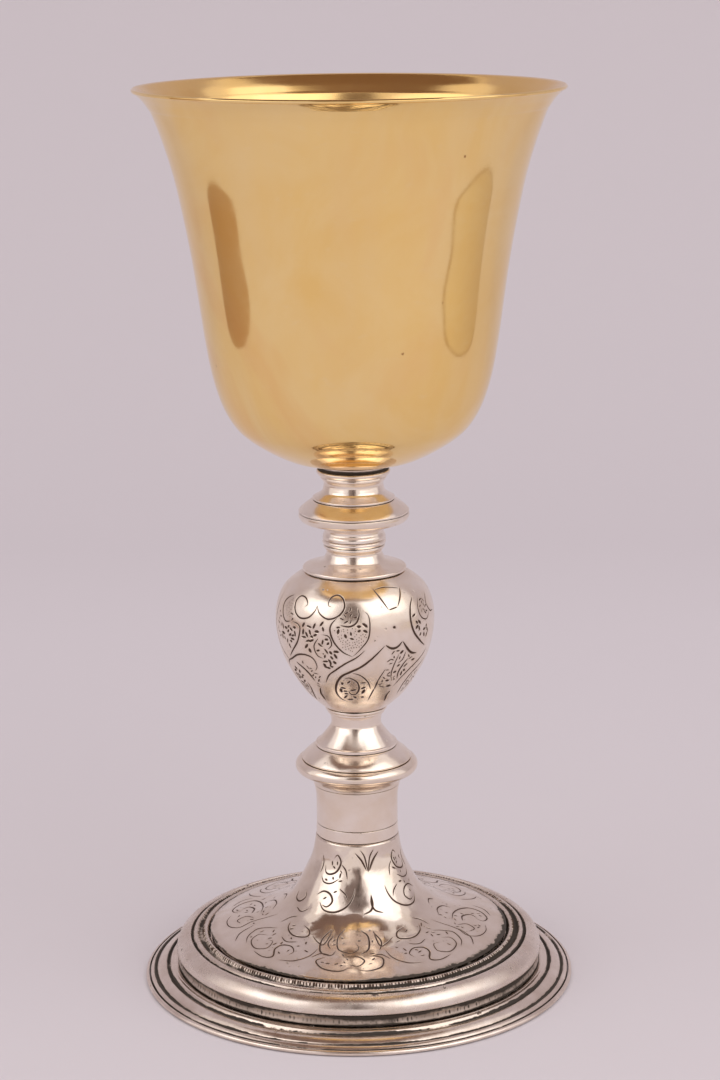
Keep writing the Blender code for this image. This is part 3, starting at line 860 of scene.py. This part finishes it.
# What is cut on the front half of the node, as (degrees from the front, mm down the skin).
NODE_STROKES = (
    (PLAIN, [(-41, 9.5), (-39, 8.5), (-43, 7), (-49, 6.8), (-52, 8.5), (-50, 11), (-44, 12.5),
             (-36, 12), (-31, 10), (-30, 8.5)]),
    (PLAIN, [(-30, 8.5), (-27, 10.5), (-20, 11.8), (-12, 10.8), (-8, 8.5), (-10, 6), (-15, 5),
             (-20, 6), (-21, 8), (-18, 8.6)]),
    (PLAIN, [(-57, 7), (-64, 8.5), (-67, 10.5), (-65, 13), (-60, 14.5), (-53, 14)]),
    (PLAIN, [(-52, 14), (-46, 14.2), (-43, 15.5), (-46, 19), (-53, 22), (-60, 24.5)]),
    (FINE, [(-76, 8), (-78, 13), (-80, 18), (-76, 22), (-67, 25), (-60, 26)]),
    (PLAIN, [(-12, 11), (-17, 13), (-18, 15), (-15, 18), (-9, 20.5), (-2, 21.8)]),
    (FINE, [(-2, 21.8), (4, 19.5), (9, 17), (10.5, 14), (10, 11), (7, 9.5)]),
    (PLAIN, [(2, 8.5), (3, 10.5), (1, 12.5), (-4, 13.5), (-11, 13.2)]),
    (FINE, [(17, 3), (22, 7), (26, 9.8)]),
    (FINE, [(26, 9.8), (34, 9.3)]),
    (FINE, [(18, 3.4), (30, 3.0), (44, 4.2)]),
    (FINE, [(34, 9.3), (40, 6.5), (45, 4)]),
    (PLAIN, [(7, 20), (1, 22), (-8, 24), (-16, 26.2), (-22, 28), (-27, 31)]),
    (BOLD, [(22, 19), (18, 20.5), (11, 23), (4, 25), (-5, 26.7), (-12, 28.3), (-17, 31),
            (-19, 34), (-16, 36.5), (-10, 37.8)]),
    (FINE, [(-3, 26.8), (4, 27.8), (10, 30), (14, 33)]),
    (BOLD, [(22, 19), (27, 20.2), (32, 20), (36, 18.6)]),
    (BOLD, [(36, 18.6), (41, 21), (46, 22.6), (53, 23.3)]),
    (PLAIN, [(68, 23), (62, 25), (53, 27), (44, 29.7), (37, 33)]),
    (PLAIN, [(71, 26), (64, 28), (55, 30), (50, 33.5), (50, 37)]),
    (BOLD, [(52, 7.5), (46, 10), (44, 13.5), (47, 17), (55, 20), (63, 22)]),
    (FINE, [(58, 8), (54, 11), (56, 13.5), (63, 14.6), (69, 13)]),
    (FINE, [(72, 8), (67, 10.5), (71, 13), (78, 13.4)]),
    (PLAIN, [(-70, 29), (-66, 26.5), (-57, 24.8), (-48, 23), (-39, 22.5), (-33, 23.3), (-31, 25.5),
             (-34, 27.2)]),
    (BOLD, [(-53, 25.5), (-46, 27), (-41, 28.8), (-38, 31)]),
    (PLAIN, [(-69, 29), (-66, 33), (-60, 37), (-53, 39.5)]),
    (PLAIN, [(-50, 32), (-49, 34), (-52, 37), (-56, 39.5)]),
    (FINE, [(-27, 17), (-31, 19.5), (-29, 22), (-24, 22.8)]),
    (FINE, [(-24, 16), (-19, 16.4), (-17, 18.5), (-20, 20)]),
    (PLAIN, [(44, 24), (40, 25.5), (37, 28), (38, 30.5)]),
    (FINE, [(34, 22), (31, 25), (30, 28), (33, 31)]),
    (FINE, [(40, 21.8), (38, 24), (34, 25)]),
    (PLAIN, [(-10, 29), (-5, 28.6), (1, 30), (3, 32.5), (0, 34.6), (-5, 34.6), (-7, 33)]),
    (BOLD, [(-35, 33), (-38, 35.5), (-37, 38.5)]),
    (BOLD, [(36, 34.5), (34, 36.5), (36, 39)]),
    (FINE, [(20, 30), (16, 34), (13, 37.5)]),
    (FINE, [(24, 26), (19, 30), (17, 33)]),
)
NODE_FIELDS = (
    (thick_dash, 34, 0.70, [(-40, 13.6), (-24, 13), (-20, 16), (-13, 21), (-16, 24.5), (-24, 26),
                            (-30, 21.5), (-42, 21), (-40, 16)]),
    (punch, 30, 0.34, [(-57, 8), (-63, 10.5), (-61, 13), (-54, 13), (-54, 9)]),
    (thick_dash, 16, 0.70, [(-47, 15), (-49, 18.5), (-57, 21.5), (-66, 20), (-64, 16)]),
    (thin_dash, 10, 0.50, [(-50, 9), (-47, 15), (-64, 21), (-74, 20), (-72, 12), (-60, 15)]),
    (thick_dash, 9, 0.70, [(-15, 13.8), (7, 12.6), (9, 15), (-2, 17), (-14, 16)]),
    (punch, 62, 0.34, [(-15, 14.5), (8, 13), (8, 17), (3, 19.2), (-3, 20.6), (-10, 19)]),
    (thin_dash, 8, 0.50, [(-8, 8), (2, 8.8), (0, 12.4), (-11, 12.6)]),
    (thick_dash, 16, 0.70, [(37, 20.5), (50, 25), (44, 28), (36, 33), (27, 33), (27, 26)]),
    (thin_dash, 20, 0.50, [(28, 21.5), (37, 20.5), (48, 24), (40, 30), (30, 33), (20, 32), (24, 25)]),
    (thick_dash, 14, 0.70, [(-14, 30), (-6, 28), (6, 29.5), (11, 33), (5, 37), (-6, 37), (-15, 35)]),
    (punch, 14, 0.34, [(-14, 30), (-6, 28), (6, 29.5), (11, 33), (5, 37), (-6, 37), (-15, 35)]),
    (thick_dash, 11, 0.70, [(47, 12), (53, 14.5), (66, 17), (64, 20.5), (54, 18.3), (47, 15)]),
    (thin_dash, 10, 0.50, [(56, 9), (66, 9), (66, 13.5), (58, 12.5)]),
    (thick_dash, 16, 0.70, [(-64, 28.5), (-54, 27.5), (-49, 31), (-54, 36), (-60, 35)]),
    (thin_dash, 12, 0.50, [(-45, 25), (-35, 26.5), (-30, 28.5), (-36, 33), (-40, 28)]),
    (thin_dash, 20, 0.50, [(54, 31), (66, 29.5), (68, 33), (56, 37)]),
)
# Single punch marks of the node: place, radius and depth.
NODE_DOTS = (((29, 14.5), 0.55, 0.30), ((-24, 21.4), 0.30, 0.14))


def laid_out(drawn, middle, flip=1, origin=0, drift=0.0):
    """Drawn points whose origin goes to a middle angle, turned over if flip is -1."""
    return [(middle + flip * (angle - origin) + drift, run) for angle, run in drawn]


def draw_node(marks):
    """The same scrolls, straps and stippled panels twice round the node."""
    generator = random.Random(11)
    for turn in (0, 180):
        for (half_width, cut), drawn in NODE_STROKES:
            drift = generator.uniform(-1, 1) if turn else 0.0
            marks.stroke(laid_out(drawn, turn, drift=drift), half_width, cut)
    for turn in (0, 180):
        for make, count, gap, outline in NODE_FIELDS:
            marks.scatter(laid_out(outline, turn), count, gap, make, generator)
        for place, radius, cut in NODE_DOTS:
            marks.dot(marks.ground.place(laid_out([place], turn))[0], radius, cut)


engraved_piece("node_shell", -98, 230, 0.7, ((0.1, 1.0), (0.1, -1.0)), draw_node)

# The scrolls of the trumpet and the three panels of the plate, in the same measure.
TRUMPET_STROKES = (
    (PLAIN, [(-44, 6.5), (-41, 8.3), (-34, 8.6), (-26, 7.5), (-22, 5), (-27, 3.2), (-32, 4.2)]),
    (FINE, [(-21, 5.5), (-15, 7), (-12, 9.5)]),
    (FINE, [(-46, 9.5), (-40, 11), (-31, 11), (-22, 9.5)]),
    (PLAIN, [(-44, 14.8), (-37, 13.4), (-29, 13.8), (-25, 15.6), (-29, 17.3), (-35, 17)]),
    (PLAIN, [(-38, 16.4), (-31, 18.3), (-20, 18.4), (-10, 16.5), (-5, 14), (-3, 11.5)]),
    (FINE, [(-20, 12), (-13, 13.4), (-10, 15)]),
    (FINE, [(-52, 4), (-48, 6), (-49, 9)]),
    (PLAIN, [(-73, 16), (-70, 18), (-62, 18.4), (-57, 16.6), (-60, 15)]),
    (FINE, [(-60, 20), (-52, 20.6), (-46, 19)]),
    (PLAIN, [(-4, 2.2), (5, 4.4), (11, 7.2)]),
    (FINE, [(3, 1.4), (9, 3.4), (12.6, 7.6)]),
    (PLAIN, [(13, 13.5), (13.5, 16), (11, 17.8), (4, 18.8)]),
)
LEAF_PANEL = (
    (FINE, [(-14, 37.6), (-19, 35.5), (-22, 32), (-18, 29.6), (-12, 28)]),
    (FINE, [(-11, 31.5), (-16, 33), (-14, 36), (-7, 37.6), (-2, 35.8), (-4, 32.8), (-8, 33)]),
    (PLAIN, [(-6, 38.6), (1, 39.2), (5, 38), (2, 35), (3, 32.8), (8, 32.2), (12, 34), (11, 36)]),
    (FINE, [(9, 38.6), (16, 37.6), (21, 34.6), (23, 31)]),
    (PLAIN, [(4, 24), (11, 25.3), (12, 27.4), (3, 28.2), (-5, 26.6), (-8, 24.5)]),
    (FINE, [(15, 26.5), (21, 28.6), (25, 29), (27, 23.5)]),
    (FINE, [(-20, 39.2), (-25, 36.4), (-28, 32)]),
    (FINE, [(22, 35.2), (26, 32.8), (32, 33.4)]),
    (FINE, [(-3, 30), (3, 31), (9, 30)]),
    (FINE, [(-15, 26), (-12, 23.6), (-6, 22)]),
)
SCROLL_PANEL = (
    (FINE, [(-21, 25), (-16, 28.5), (-14, 32), (-16, 35.6), (-12, 38), (-5, 38.6), (1, 37.6)]),
    (PLAIN, [(-7, 29), (2, 28.4), (11, 29.8), (17, 32.8), (15, 36), (9, 37.8), (4, 36.8), (5, 34.6)]),
    (FINE, [(-10, 31), (-5, 33), (-7, 35.6), (-12, 35)]),
    (PLAIN, [(-3, 31.6), (3, 31), (8, 33), (6, 35)]),
    (FINE, [(-11, 25.5), (-4, 24), (5, 25), (9, 27.4)]),
    (FINE, [(13, 38.8), (19, 37.4), (22, 34.5)]),
    (FINE, [(-6, 21.5), (0, 20.6), (7, 22)]),
)
LOBE_PANEL = (
    (PLAIN, [(-15, 23.5), (-18.5, 27.5), (-16, 32), (-10, 33.2), (-8, 31)]),
    (PLAIN, [(-12, 34), (-15.5, 36.2), (-11, 39), (-4, 39.6), (0, 38)]),
    (FINE, [(-5, 23), (-9, 26), (-7, 30.4), (0, 31.8), (4, 29.8), (2, 27.6)]),
    (PLAIN, [(5, 23.4), (10, 25.6), (9.5, 30), (5, 32.4)]),
    (FINE, [(-4, 33.8), (2, 33), (6.5, 35), (4, 37.4), (-1, 36.8)]),
    (PLAIN, [(9, 33), (15, 34.2), (14, 37.8), (8, 39.4), (4, 39)]),
    (FINE, [(13.5, 24), (17.5, 27.6), (15, 31.2)]),
    (FINE, [(-12, 25.5), (-14, 28.4), (-11, 30.6)]),
)
LEAF_FIELD = [(-16, 37), (-20, 32), (-10, 25), (10, 24.5), (20, 32), (14, 37.5), (0, 38)]
# Middle of each panel in degrees, -1 if it is turned over, and what it is.
PLATE_LAYOUT = ((-92, -1, SCROLL_PANEL), (-45, 1, LEAF_PANEL), (-4, 1, LOBE_PANEL),
                (37, -1, LEAF_PANEL), (78, 1, SCROLL_PANEL), (135, 1, LEAF_PANEL),
                (176, -1, LOBE_PANEL), (217, -1, LEAF_PANEL))
TRUMPET_FIELD = [(-14, 5), (14, 5), (12, 17), (-12, 17)]
PAIR_MIDDLE = 13             # where two scrolls of the trumpet meet, degrees
OUTER_SCROLLS = -55          # strokes that start beyond this angle aren't mirrored


def draw_foot(marks):
    """Scrolls in pairs on the trumpet and leaf panels round the plate."""
    generator = random.Random(23)
    for turn in (0, 180):
        for flip in (1, -1):
            for (half_width, cut), drawn in TRUMPET_STROKES:
                if flip < 0 and drawn[0][0] < OUTER_SCROLLS:
                    continue
                offset = 0 if flip > 0 else generator.uniform(-1.5, 1.5)
                marks.stroke(laid_out(drawn, PAIR_MIDDLE + turn, flip, PAIR_MIDDLE, offset),
                             half_width, cut)
    for middle, flip, panel in PLATE_LAYOUT:
        for (half_width, cut), drawn in panel:
            marks.stroke(laid_out(drawn, middle, flip), half_width, cut)
    for middle, flip, _ in PLATE_LAYOUT:
        field = laid_out(LEAF_FIELD, middle, flip)
        marks.scatter(field, 16, 0.6, thin_dash, generator)
        marks.scatter(field, 8, 0.4, punch, generator)
    for turn in (0, 180):
        for side in (-30, 56):
            marks.scatter(laid_out(TRUMPET_FIELD, side + turn), 10, 0.6, thin_dash, generator)


engraved_piece("foot_dome", 101, 260, 0.8, ((0.1, 1.0), (1.0, 0.5)), draw_foot)


# --- stamped rings of the foot --------------------------------------------------

def notches(count, segments, generator, width):
    """How deep each of the segments lies in a row of uneven notches, from 0 to 1."""
    position = np.arange(segments) * count / segments
    depth = np.zeros(segments)
    for notch in range(count):
        middle = notch + 0.5 + generator.uniform(-0.22, 0.22)
        half = width / 2 * generator.uniform(0.7, 1.4)
        full = generator.uniform(0.35, 1.0)
        away = np.abs((position - middle + count / 2) % count - count / 2)
        depth = np.maximum(depth, full * np.clip(1 - away / half, 0, 1) ** 0.7)
    return depth


def rippled_ring(name, node, profile, ripple, depth):
    """A closed ring whose outline sinks by depth (mm) where the ripple is deep.

    Each point of the profile is (radius, height, share of the ripple it takes, dirt and painted shade
    on it).
    """
    points, weights, darkening = np.array([p[:2] for p in profile]), *np.array(profile).T[2:]
    normals = outline_normals(points, True)
    segments = len(ripple)
    angle = np.arange(segments) * math.tau / segments
    share = weights[:, None] * ripple[None]
    sunk = share * depth
    radius = points[:, :1] - normals[:, :1] * sunk
    height = points[:, 1:] - normals[:, 1:] * sunk
    vertices = np.stack([radius * np.cos(angle), radius * np.sin(angle), height], axis=-1) * MM
    mesh = mesh_of(name, vertices.reshape(-1, 3), ring_faces(len(points), segments, closed=True))
    # The profile's darkening goes in as the recess: dirt, and painted shade where the ring is closed
    # in.
    place_piece(mesh, node, np.repeat(darkening, segments), share.ravel(), 0.2)


# Outward from the inner edge: radius, height, share of the notches, dirt and painted shade.
MILLED_WIDTH = 4.5
MILLED_PROFILE = ((0.0, 0.0, 0, 1.2), (0.05, 0.60, 0, 1.2), (0.25, 0.90, 0, 1.0),
                  (0.45, 1.12, 0, 0.5), (0.75, 1.32, 0, 0.1), (1.05, 1.34, 0.15, 0.0),
                  (1.3, 1.20, 0.7, 0.1), (1.5, 0.95, 1.0, 0.7), (1.65, 0.65, 0.8, 1.0),
                  (1.85, 0.35, 0.3, 1.2), (2.3, 0.20, 0, 1.2), (2.75, 0.28, 0.4, 1.2),
                  (3.0, 0.48, 0.8, 0.9), (3.25, 0.68, 0.4, 0.25), (3.55, 0.75, 0, 0.0),
                  (3.9, 0.65, 0, 0.1), (4.15, 0.40, 0, 0.7), (4.35, 0.10, 0, 1.2),
                  (MILLED_WIDTH, 0.0, 0, 1.2))
# Inward from the outer face: distance, share of the height down, share of the marks, dirt and painted
# shade (darkest at the top, under the step).
GALLERY_PROFILE = ((0.7, 0.0, 0, 1.2), (0.1, 0.0, 0, 1.2), (0.12, 0.15, 0, 1.0),
                   (0.25, 0.32, 0.15, 0.82), (0.33, 0.50, 0.4, 0.55), (0.28, 0.66, 0.4, 0.40),
                   (0.12, 0.80, 0.25, 0.46), (0.0, 0.92, 0, 0.95), (0.0, 1.0, 0, 1.2),
                   (0.7, 1.0, 0, 1.0))


def make_milled_wire():
    """A notched ridge, a trough with ragged edges darkened by dirt and painted shade, and a plain
    ridge round the plate.
    """
    (_, _, low), (outer, _, _) = (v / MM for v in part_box("milled_wire"))
    profile = [(outer - MILLED_WIDTH + r, low + z, share, darkening)
               for r, z, share, darkening in MILLED_PROFILE[::-1]]
    rippled_ring("milled_wire_notched", "milled_wire", profile,
                 notches(320, 2080, random.Random(5), 0.75), 0.48)


def make_gallery_band():
    """Hollowed dark band with uneven upright marks."""
    (_, _, low), (outer, _, high) = (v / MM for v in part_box("gallery_band"))
    profile = [(outer - r, high - down * (high - low), share, darkening)
               for r, down, share, darkening in GALLERY_PROFILE]
    rippled_ring("gallery_band_fluted", "gallery_band", profile,
                 notches(260, 1820, random.Random(8), 0.6), 0.22)


make_milled_wire()
make_gallery_band()


# --- hardware inside the foot ---------------------------------------------------

THREAD_PITCH = 1.27          # mm
THREAD_DEPTH = 0.45
NUT_THREAD_SHARE = 0.4       # of the thread's depth that stands in the nut's hole
THREADED_LENGTH = 22.0
THREAD_ROWS = 8              # rows of points in one turn of the thread
ROD_CHAMFER = 0.6
ROD_SEGMENTS, NUT_SEGMENTS = 40, 72
NUT_BORE = 3.3               # radius, mm
NUT_CHAMFER = 0.2            # how far inside its flats the nut's end face stops
MOUTH_CHAMFER = 0.35
SHARP_ANGLE = math.radians(35)
SCREW_WELD = 1e-7            # m
NUT_END_ROWS = np.array([0.0, 0.12, 0.25, 0.38])


def thread(z, angle):
    """From 0 to 1: how near a place is to the middle of the thread's groove."""
    turn = (z / THREAD_PITCH - angle / math.tau) % 1.0
    return 1 - abs(2 * turn - 1)


def screw_surface(rows, segments, radius_at):
    """Vertices of a round surface whose radius depends on the height and the angle."""
    angle = np.arange(segments) * math.tau / segments
    vertices = []
    for z in rows:
        radius = np.array([radius_at(z, a) for a in angle])
        vertices += list(zip(radius * np.cos(angle), radius * np.sin(angle), [z] * segments))
    return vertices


def screw_piece(name, node, vertices, segments, caps=()):
    """A closed piece, in mm, of rings of points, smooth but for its sharp edges."""
    faces = [(a, d, c, b) for a, b, c, d in ring_faces(len(vertices) // segments, segments)]
    mesh = bpy.data.meshes.new(name)
    mesh.from_pydata([tuple(c * MM for c in v) for v in vertices], [], faces + list(caps))
    form = bmesh.new()
    form.from_mesh(mesh)
    bmesh.ops.remove_doubles(form, verts=form.verts, dist=SCREW_WELD)
    bmesh.ops.recalc_face_normals(form, faces=form.faces)
    form.to_mesh(mesh)
    form.free()
    mesh.shade_smooth()
    mesh.set_sharp_from_angle(angle=SHARP_ANGLE)
    place_piece(mesh, node)


def make_tie_rod():
    """Rod with a thread cut along its lower end."""
    (_, _, low), (radius, _, high) = (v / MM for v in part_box("tie_rod"))
    top_of_thread = low + THREADED_LENGTH

    def radius_at(z, angle):
        fade = min(1.0, max(0.0, (top_of_thread - z) / THREAD_PITCH))
        return min(radius - THREAD_DEPTH * thread(z, angle) * fade, radius - ROD_CHAMFER + (z - low))

    rows = list(np.arange(low, top_of_thread + THREAD_PITCH, THREAD_PITCH / THREAD_ROWS))
    rows += [(rows[-1] + high) / 2, high]
    vertices = screw_surface(rows, ROD_SEGMENTS, radius_at)
    caps = (tuple(range(ROD_SEGMENTS))[::-1],
            tuple(range(len(vertices) - ROD_SEGMENTS, len(vertices))))
    screw_piece("tie_rod_threaded", "tie_rod", vertices, ROD_SEGMENTS, caps)


def make_tie_nut():
    """Chamfered hexagonal nut with a threaded hole."""
    (low_x, low_y, low), (high_x, high_y, high) = (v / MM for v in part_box("tie_nut"))
    flat = min(high_x - low_x, high_y - low_y) / 2
    turned = 0.0 if high_x - low_x < high_y - low_y else math.radians(30)

    def outside(z, angle):
        corner = (angle - turned + math.radians(30)) % math.radians(60) - math.radians(30)
        from_end = min(z - low, high - z)
        return min(flat / math.cos(corner), flat - NUT_CHAMFER + from_end / math.tan(math.radians(30)))

    def hole(z, angle):
        mouth = max(0.0, MOUTH_CHAMFER - min(z - low, high - z))
        return NUT_BORE + THREAD_DEPTH * NUT_THREAD_SHARE * thread(z, angle) + mouth

    outer_rows = [*(low + NUT_END_ROWS), *(high - NUT_END_ROWS[::-1])]
    inner_rows = [*np.arange(high, low, -THREAD_PITCH / THREAD_ROWS), low]
    vertices = screw_surface(outer_rows, NUT_SEGMENTS, outside)
    vertices += screw_surface(inner_rows, NUT_SEGMENTS, hole)
    vertices += screw_surface([low], NUT_SEGMENTS, outside)
    screw_piece("tie_nut_threaded", "tie_nut", vertices, NUT_SEGMENTS)


make_tie_rod()
make_tie_nut()


# --- stage: floor, lights and camera --------------------------------------------

CAMERA_DISTANCE = 0.6721     # from the axis, m
CAMERA_HEIGHT = 0.2807
CAMERA_PITCH = math.radians(13.373)
CAMERA_YAW = math.radians(0.132)
CAMERA_ROLL = math.radians(-0.6076)
CAMERA_LENS = 86.83          # on a 36 mm long side
LIT_HEIGHT = 0.12            # the lights are aimed at this height on the axis, m
FLOOR_GAP = 0.0003           # the floor lies this far under the foot, m
FLOOR_FRONT, FLOOR_BACK, FLOOR_HALF_WIDTH = -3.2, 1.1, 4.5
BACKDROP_HEIGHT, BACKDROP_BEND, BEND_STEPS = 2.2, 0.6, 12
FLAG_STEPS = 16              # sides of a flag's oval end
FLAG_END = 0.16              # how long the oval end is, m
FLAG_FAR_EDGE, FLAG_SPREAD = 1.4, 0.05
FLAG_SPAN = (-0.14, 0.24)    # where its colour changes, along Y


def make_camera():
    """The camera in front of the chalice, looking slightly down."""
    forward = Vector((math.sin(CAMERA_YAW) * math.cos(CAMERA_PITCH),
                      math.cos(CAMERA_YAW) * math.cos(CAMERA_PITCH), -math.sin(CAMERA_PITCH)))
    level = forward.cross(Vector((0, 0, 1))).normalized()
    upright = level.cross(forward)
    right = level * math.cos(CAMERA_ROLL) + upright * math.sin(CAMERA_ROLL)
    up = upright * math.cos(CAMERA_ROLL) - level * math.sin(CAMERA_ROLL)
    data = bpy.data.cameras.new("camera")
    data.lens = CAMERA_LENS
    data.sensor_width = 36.0
    data.clip_start = 0.01
    camera = bpy.data.objects.new("camera", data)
    turned = Matrix((right, up, -forward)).transposed().to_4x4()
    camera.matrix_world = Matrix.Translation((0, -CAMERA_DISTANCE, CAMERA_HEIGHT)) @ turned
    bpy.context.scene.collection.objects.link(camera)
    bpy.context.scene.camera = camera


def card_material(name, near, far, span):
    """Matt card that goes from one colour to another along the Y axis."""
    paint = Paint(name)
    y = paint.node("ShaderNodeSeparateXYZ", {"Vector": paint.here})["Y"]
    along = paint.remap(y, *span, 0.0, 1.0)
    paint.feed(paint.shader["Base Color"], paint.mix(along, near, far))
    paint.feed(paint.shader["Roughness"], 0.9)
    paint.feed(paint.shader["Specular IOR Level"], 0.0)
    return paint.material


def make_backdrop():
    """Seamless pale sweep: a floor that curves up behind the chalice, painted darker towards the back
    and up the sweep as painted shade.
    """
    profile = [(FLOOR_FRONT, 0.0), (FLOOR_BACK - BACKDROP_BEND, 0.0)]
    for step in range(1, BEND_STEPS + 1):
        angle = math.radians(90) * step / BEND_STEPS
        profile.append((FLOOR_BACK - BACKDROP_BEND + BACKDROP_BEND * math.sin(angle),
                        BACKDROP_BEND - BACKDROP_BEND * math.cos(angle)))
    profile.append((FLOOR_BACK, BACKDROP_HEIGHT))
    vertices = [(x, y, z - FLOOR_GAP) for y, z in profile
                for x in (-FLOOR_HALF_WIDTH, FLOOR_HALF_WIDTH)]
    faces = [(2 * i, 2 * i + 1, 2 * i + 3, 2 * i + 2) for i in range(len(profile) - 1)]
    # Painted shade: the paper goes darker from the front to the back and up the sweep.
    paper = card_material("backdrop_paper", (0.663, 0.628, 0.662), (0.605, 0.567, 0.593),
                          (0.35, 1.1))
    object_of(mesh_of("backdrop", vertices, faces), paper)


def make_card(name, corners, near, far, span=(0.0, 1.0)):
    """A flag beside the chalice, seen only in its reflections."""
    mesh = bpy.data.meshes.new(name)
    mesh.from_pydata(corners, [], [tuple(range(len(corners)))])
    card = object_of(mesh, card_material(name, near, far, span))
    card.visible_camera = False
    card.visible_diffuse = False
    card.visible_shadow = False


def upright_card(name, low, high, left, right, depth_left, depth_right, colour):
    """An upright card between the camera's side and the chalice, in one colour."""
    make_card(name, [(left, depth_left, low), (right, depth_right, low),
                     (right, depth_right, high), (left, depth_left, high)], colour, colour)


def floor_flag(name, side, near_edge, low, high, near, far, lift=0.004):
    """A flag just above the floor whose inner end is a half oval."""
    middle, half = (low + high) / 2, (high - low) / 2
    corners = []
    for step in range(FLAG_STEPS + 1):
        angle = math.radians(-90 + 180 * step / FLAG_STEPS)
        corners.append((side * (near_edge + FLAG_END * (1 - math.cos(angle))),
                        middle + half * math.sin(angle), lift))
    corners += [(side * FLAG_FAR_EDGE, high + FLAG_SPREAD, lift),
                (side * FLAG_FAR_EDGE, low - FLAG_SPREAD, lift)]
    make_card(name, corners, near, far, FLAG_SPAN)


def make_softbox(name, azimuth, elevation, distance, width, height, power):
    """A rectangular area light aimed at the middle of the chalice.

    azimuth is measured from the camera's side, positive to the right.
    """
    data = bpy.data.lights.new(name, "AREA")
    data.shape = "RECTANGLE"
    data.size, data.size_y = width, height
    data.energy = power
    light = bpy.data.objects.new(name, data)
    a, e = math.radians(azimuth), math.radians(elevation)
    offset = Vector((math.sin(a) * math.cos(e), -math.cos(a) * math.cos(e), math.sin(e)))
    light.location = Vector((0, 0, LIT_HEIGHT)) + offset * distance
    light.rotation_euler = (-offset).to_track_quat("-Z", "Y").to_euler()
    light.visible_camera = False
    bpy.context.scene.collection.objects.link(light)


def make_world():
    """Even pale light from all round."""
    world = bpy.data.worlds.new("studio")
    world.use_nodes = True
    background = world.node_tree.nodes["Background"]
    background.inputs["Color"].default_value = (0.80, 0.735, 0.735, 1.0)
    background.inputs["Strength"].default_value = 1.125
    bpy.context.scene.world = world


make_backdrop()
make_softbox("key_left", -62, 32, 1.35, 1.10, 0.88, 2.0)
make_softbox("key_left_core", -62, 30, 1.36, 0.60, 0.50, 0.35)
make_softbox("key_right", 53, 40, 1.35, 1.55, 1.25, 3.95)
make_softbox("key_right_core", 46, 37, 1.36, 0.80, 0.75, 0.80)
make_world()
make_camera()
bpy.context.scene.view_settings.view_transform = "Standard"

DARK_CARD = (0.020, 0.012, 0.008)
GREY_CARD = (0.33, 0.28, 0.25)
BROWN_CARD = (0.30, 0.21, 0.16)
upright_card("camera_gap", 0.22, 1.30, -0.26, 0.12, -0.73, -0.78, GREY_CARD)
upright_card("camera_core", 0.20, 0.80, -0.036, 0.006, -0.70, -0.70, DARK_CARD)
floor_flag("left_flag", -1, 0.508, -0.175, 0.22, (0.49, 0.37, 0.295), (0.41, 0.305, 0.245))
floor_flag("right_flag", 1, 0.475, -0.26, 0.195, (0.66, 0.60, 0.52), (0.53, 0.455, 0.39))
floor_flag("right_flag_rim", 1, 0.465, -0.29, 0.195, (0.50, 0.42, 0.35), (0.46, 0.38, 0.32),
           lift=0.003)
make_card("ceiling", [(-0.9, -0.75, 1.5), (-0.9, 0.6, 1.5), (0.6, 0.6, 1.5), (0.6, -0.75, 1.5)],
          BROWN_CARD, BROWN_CARD)
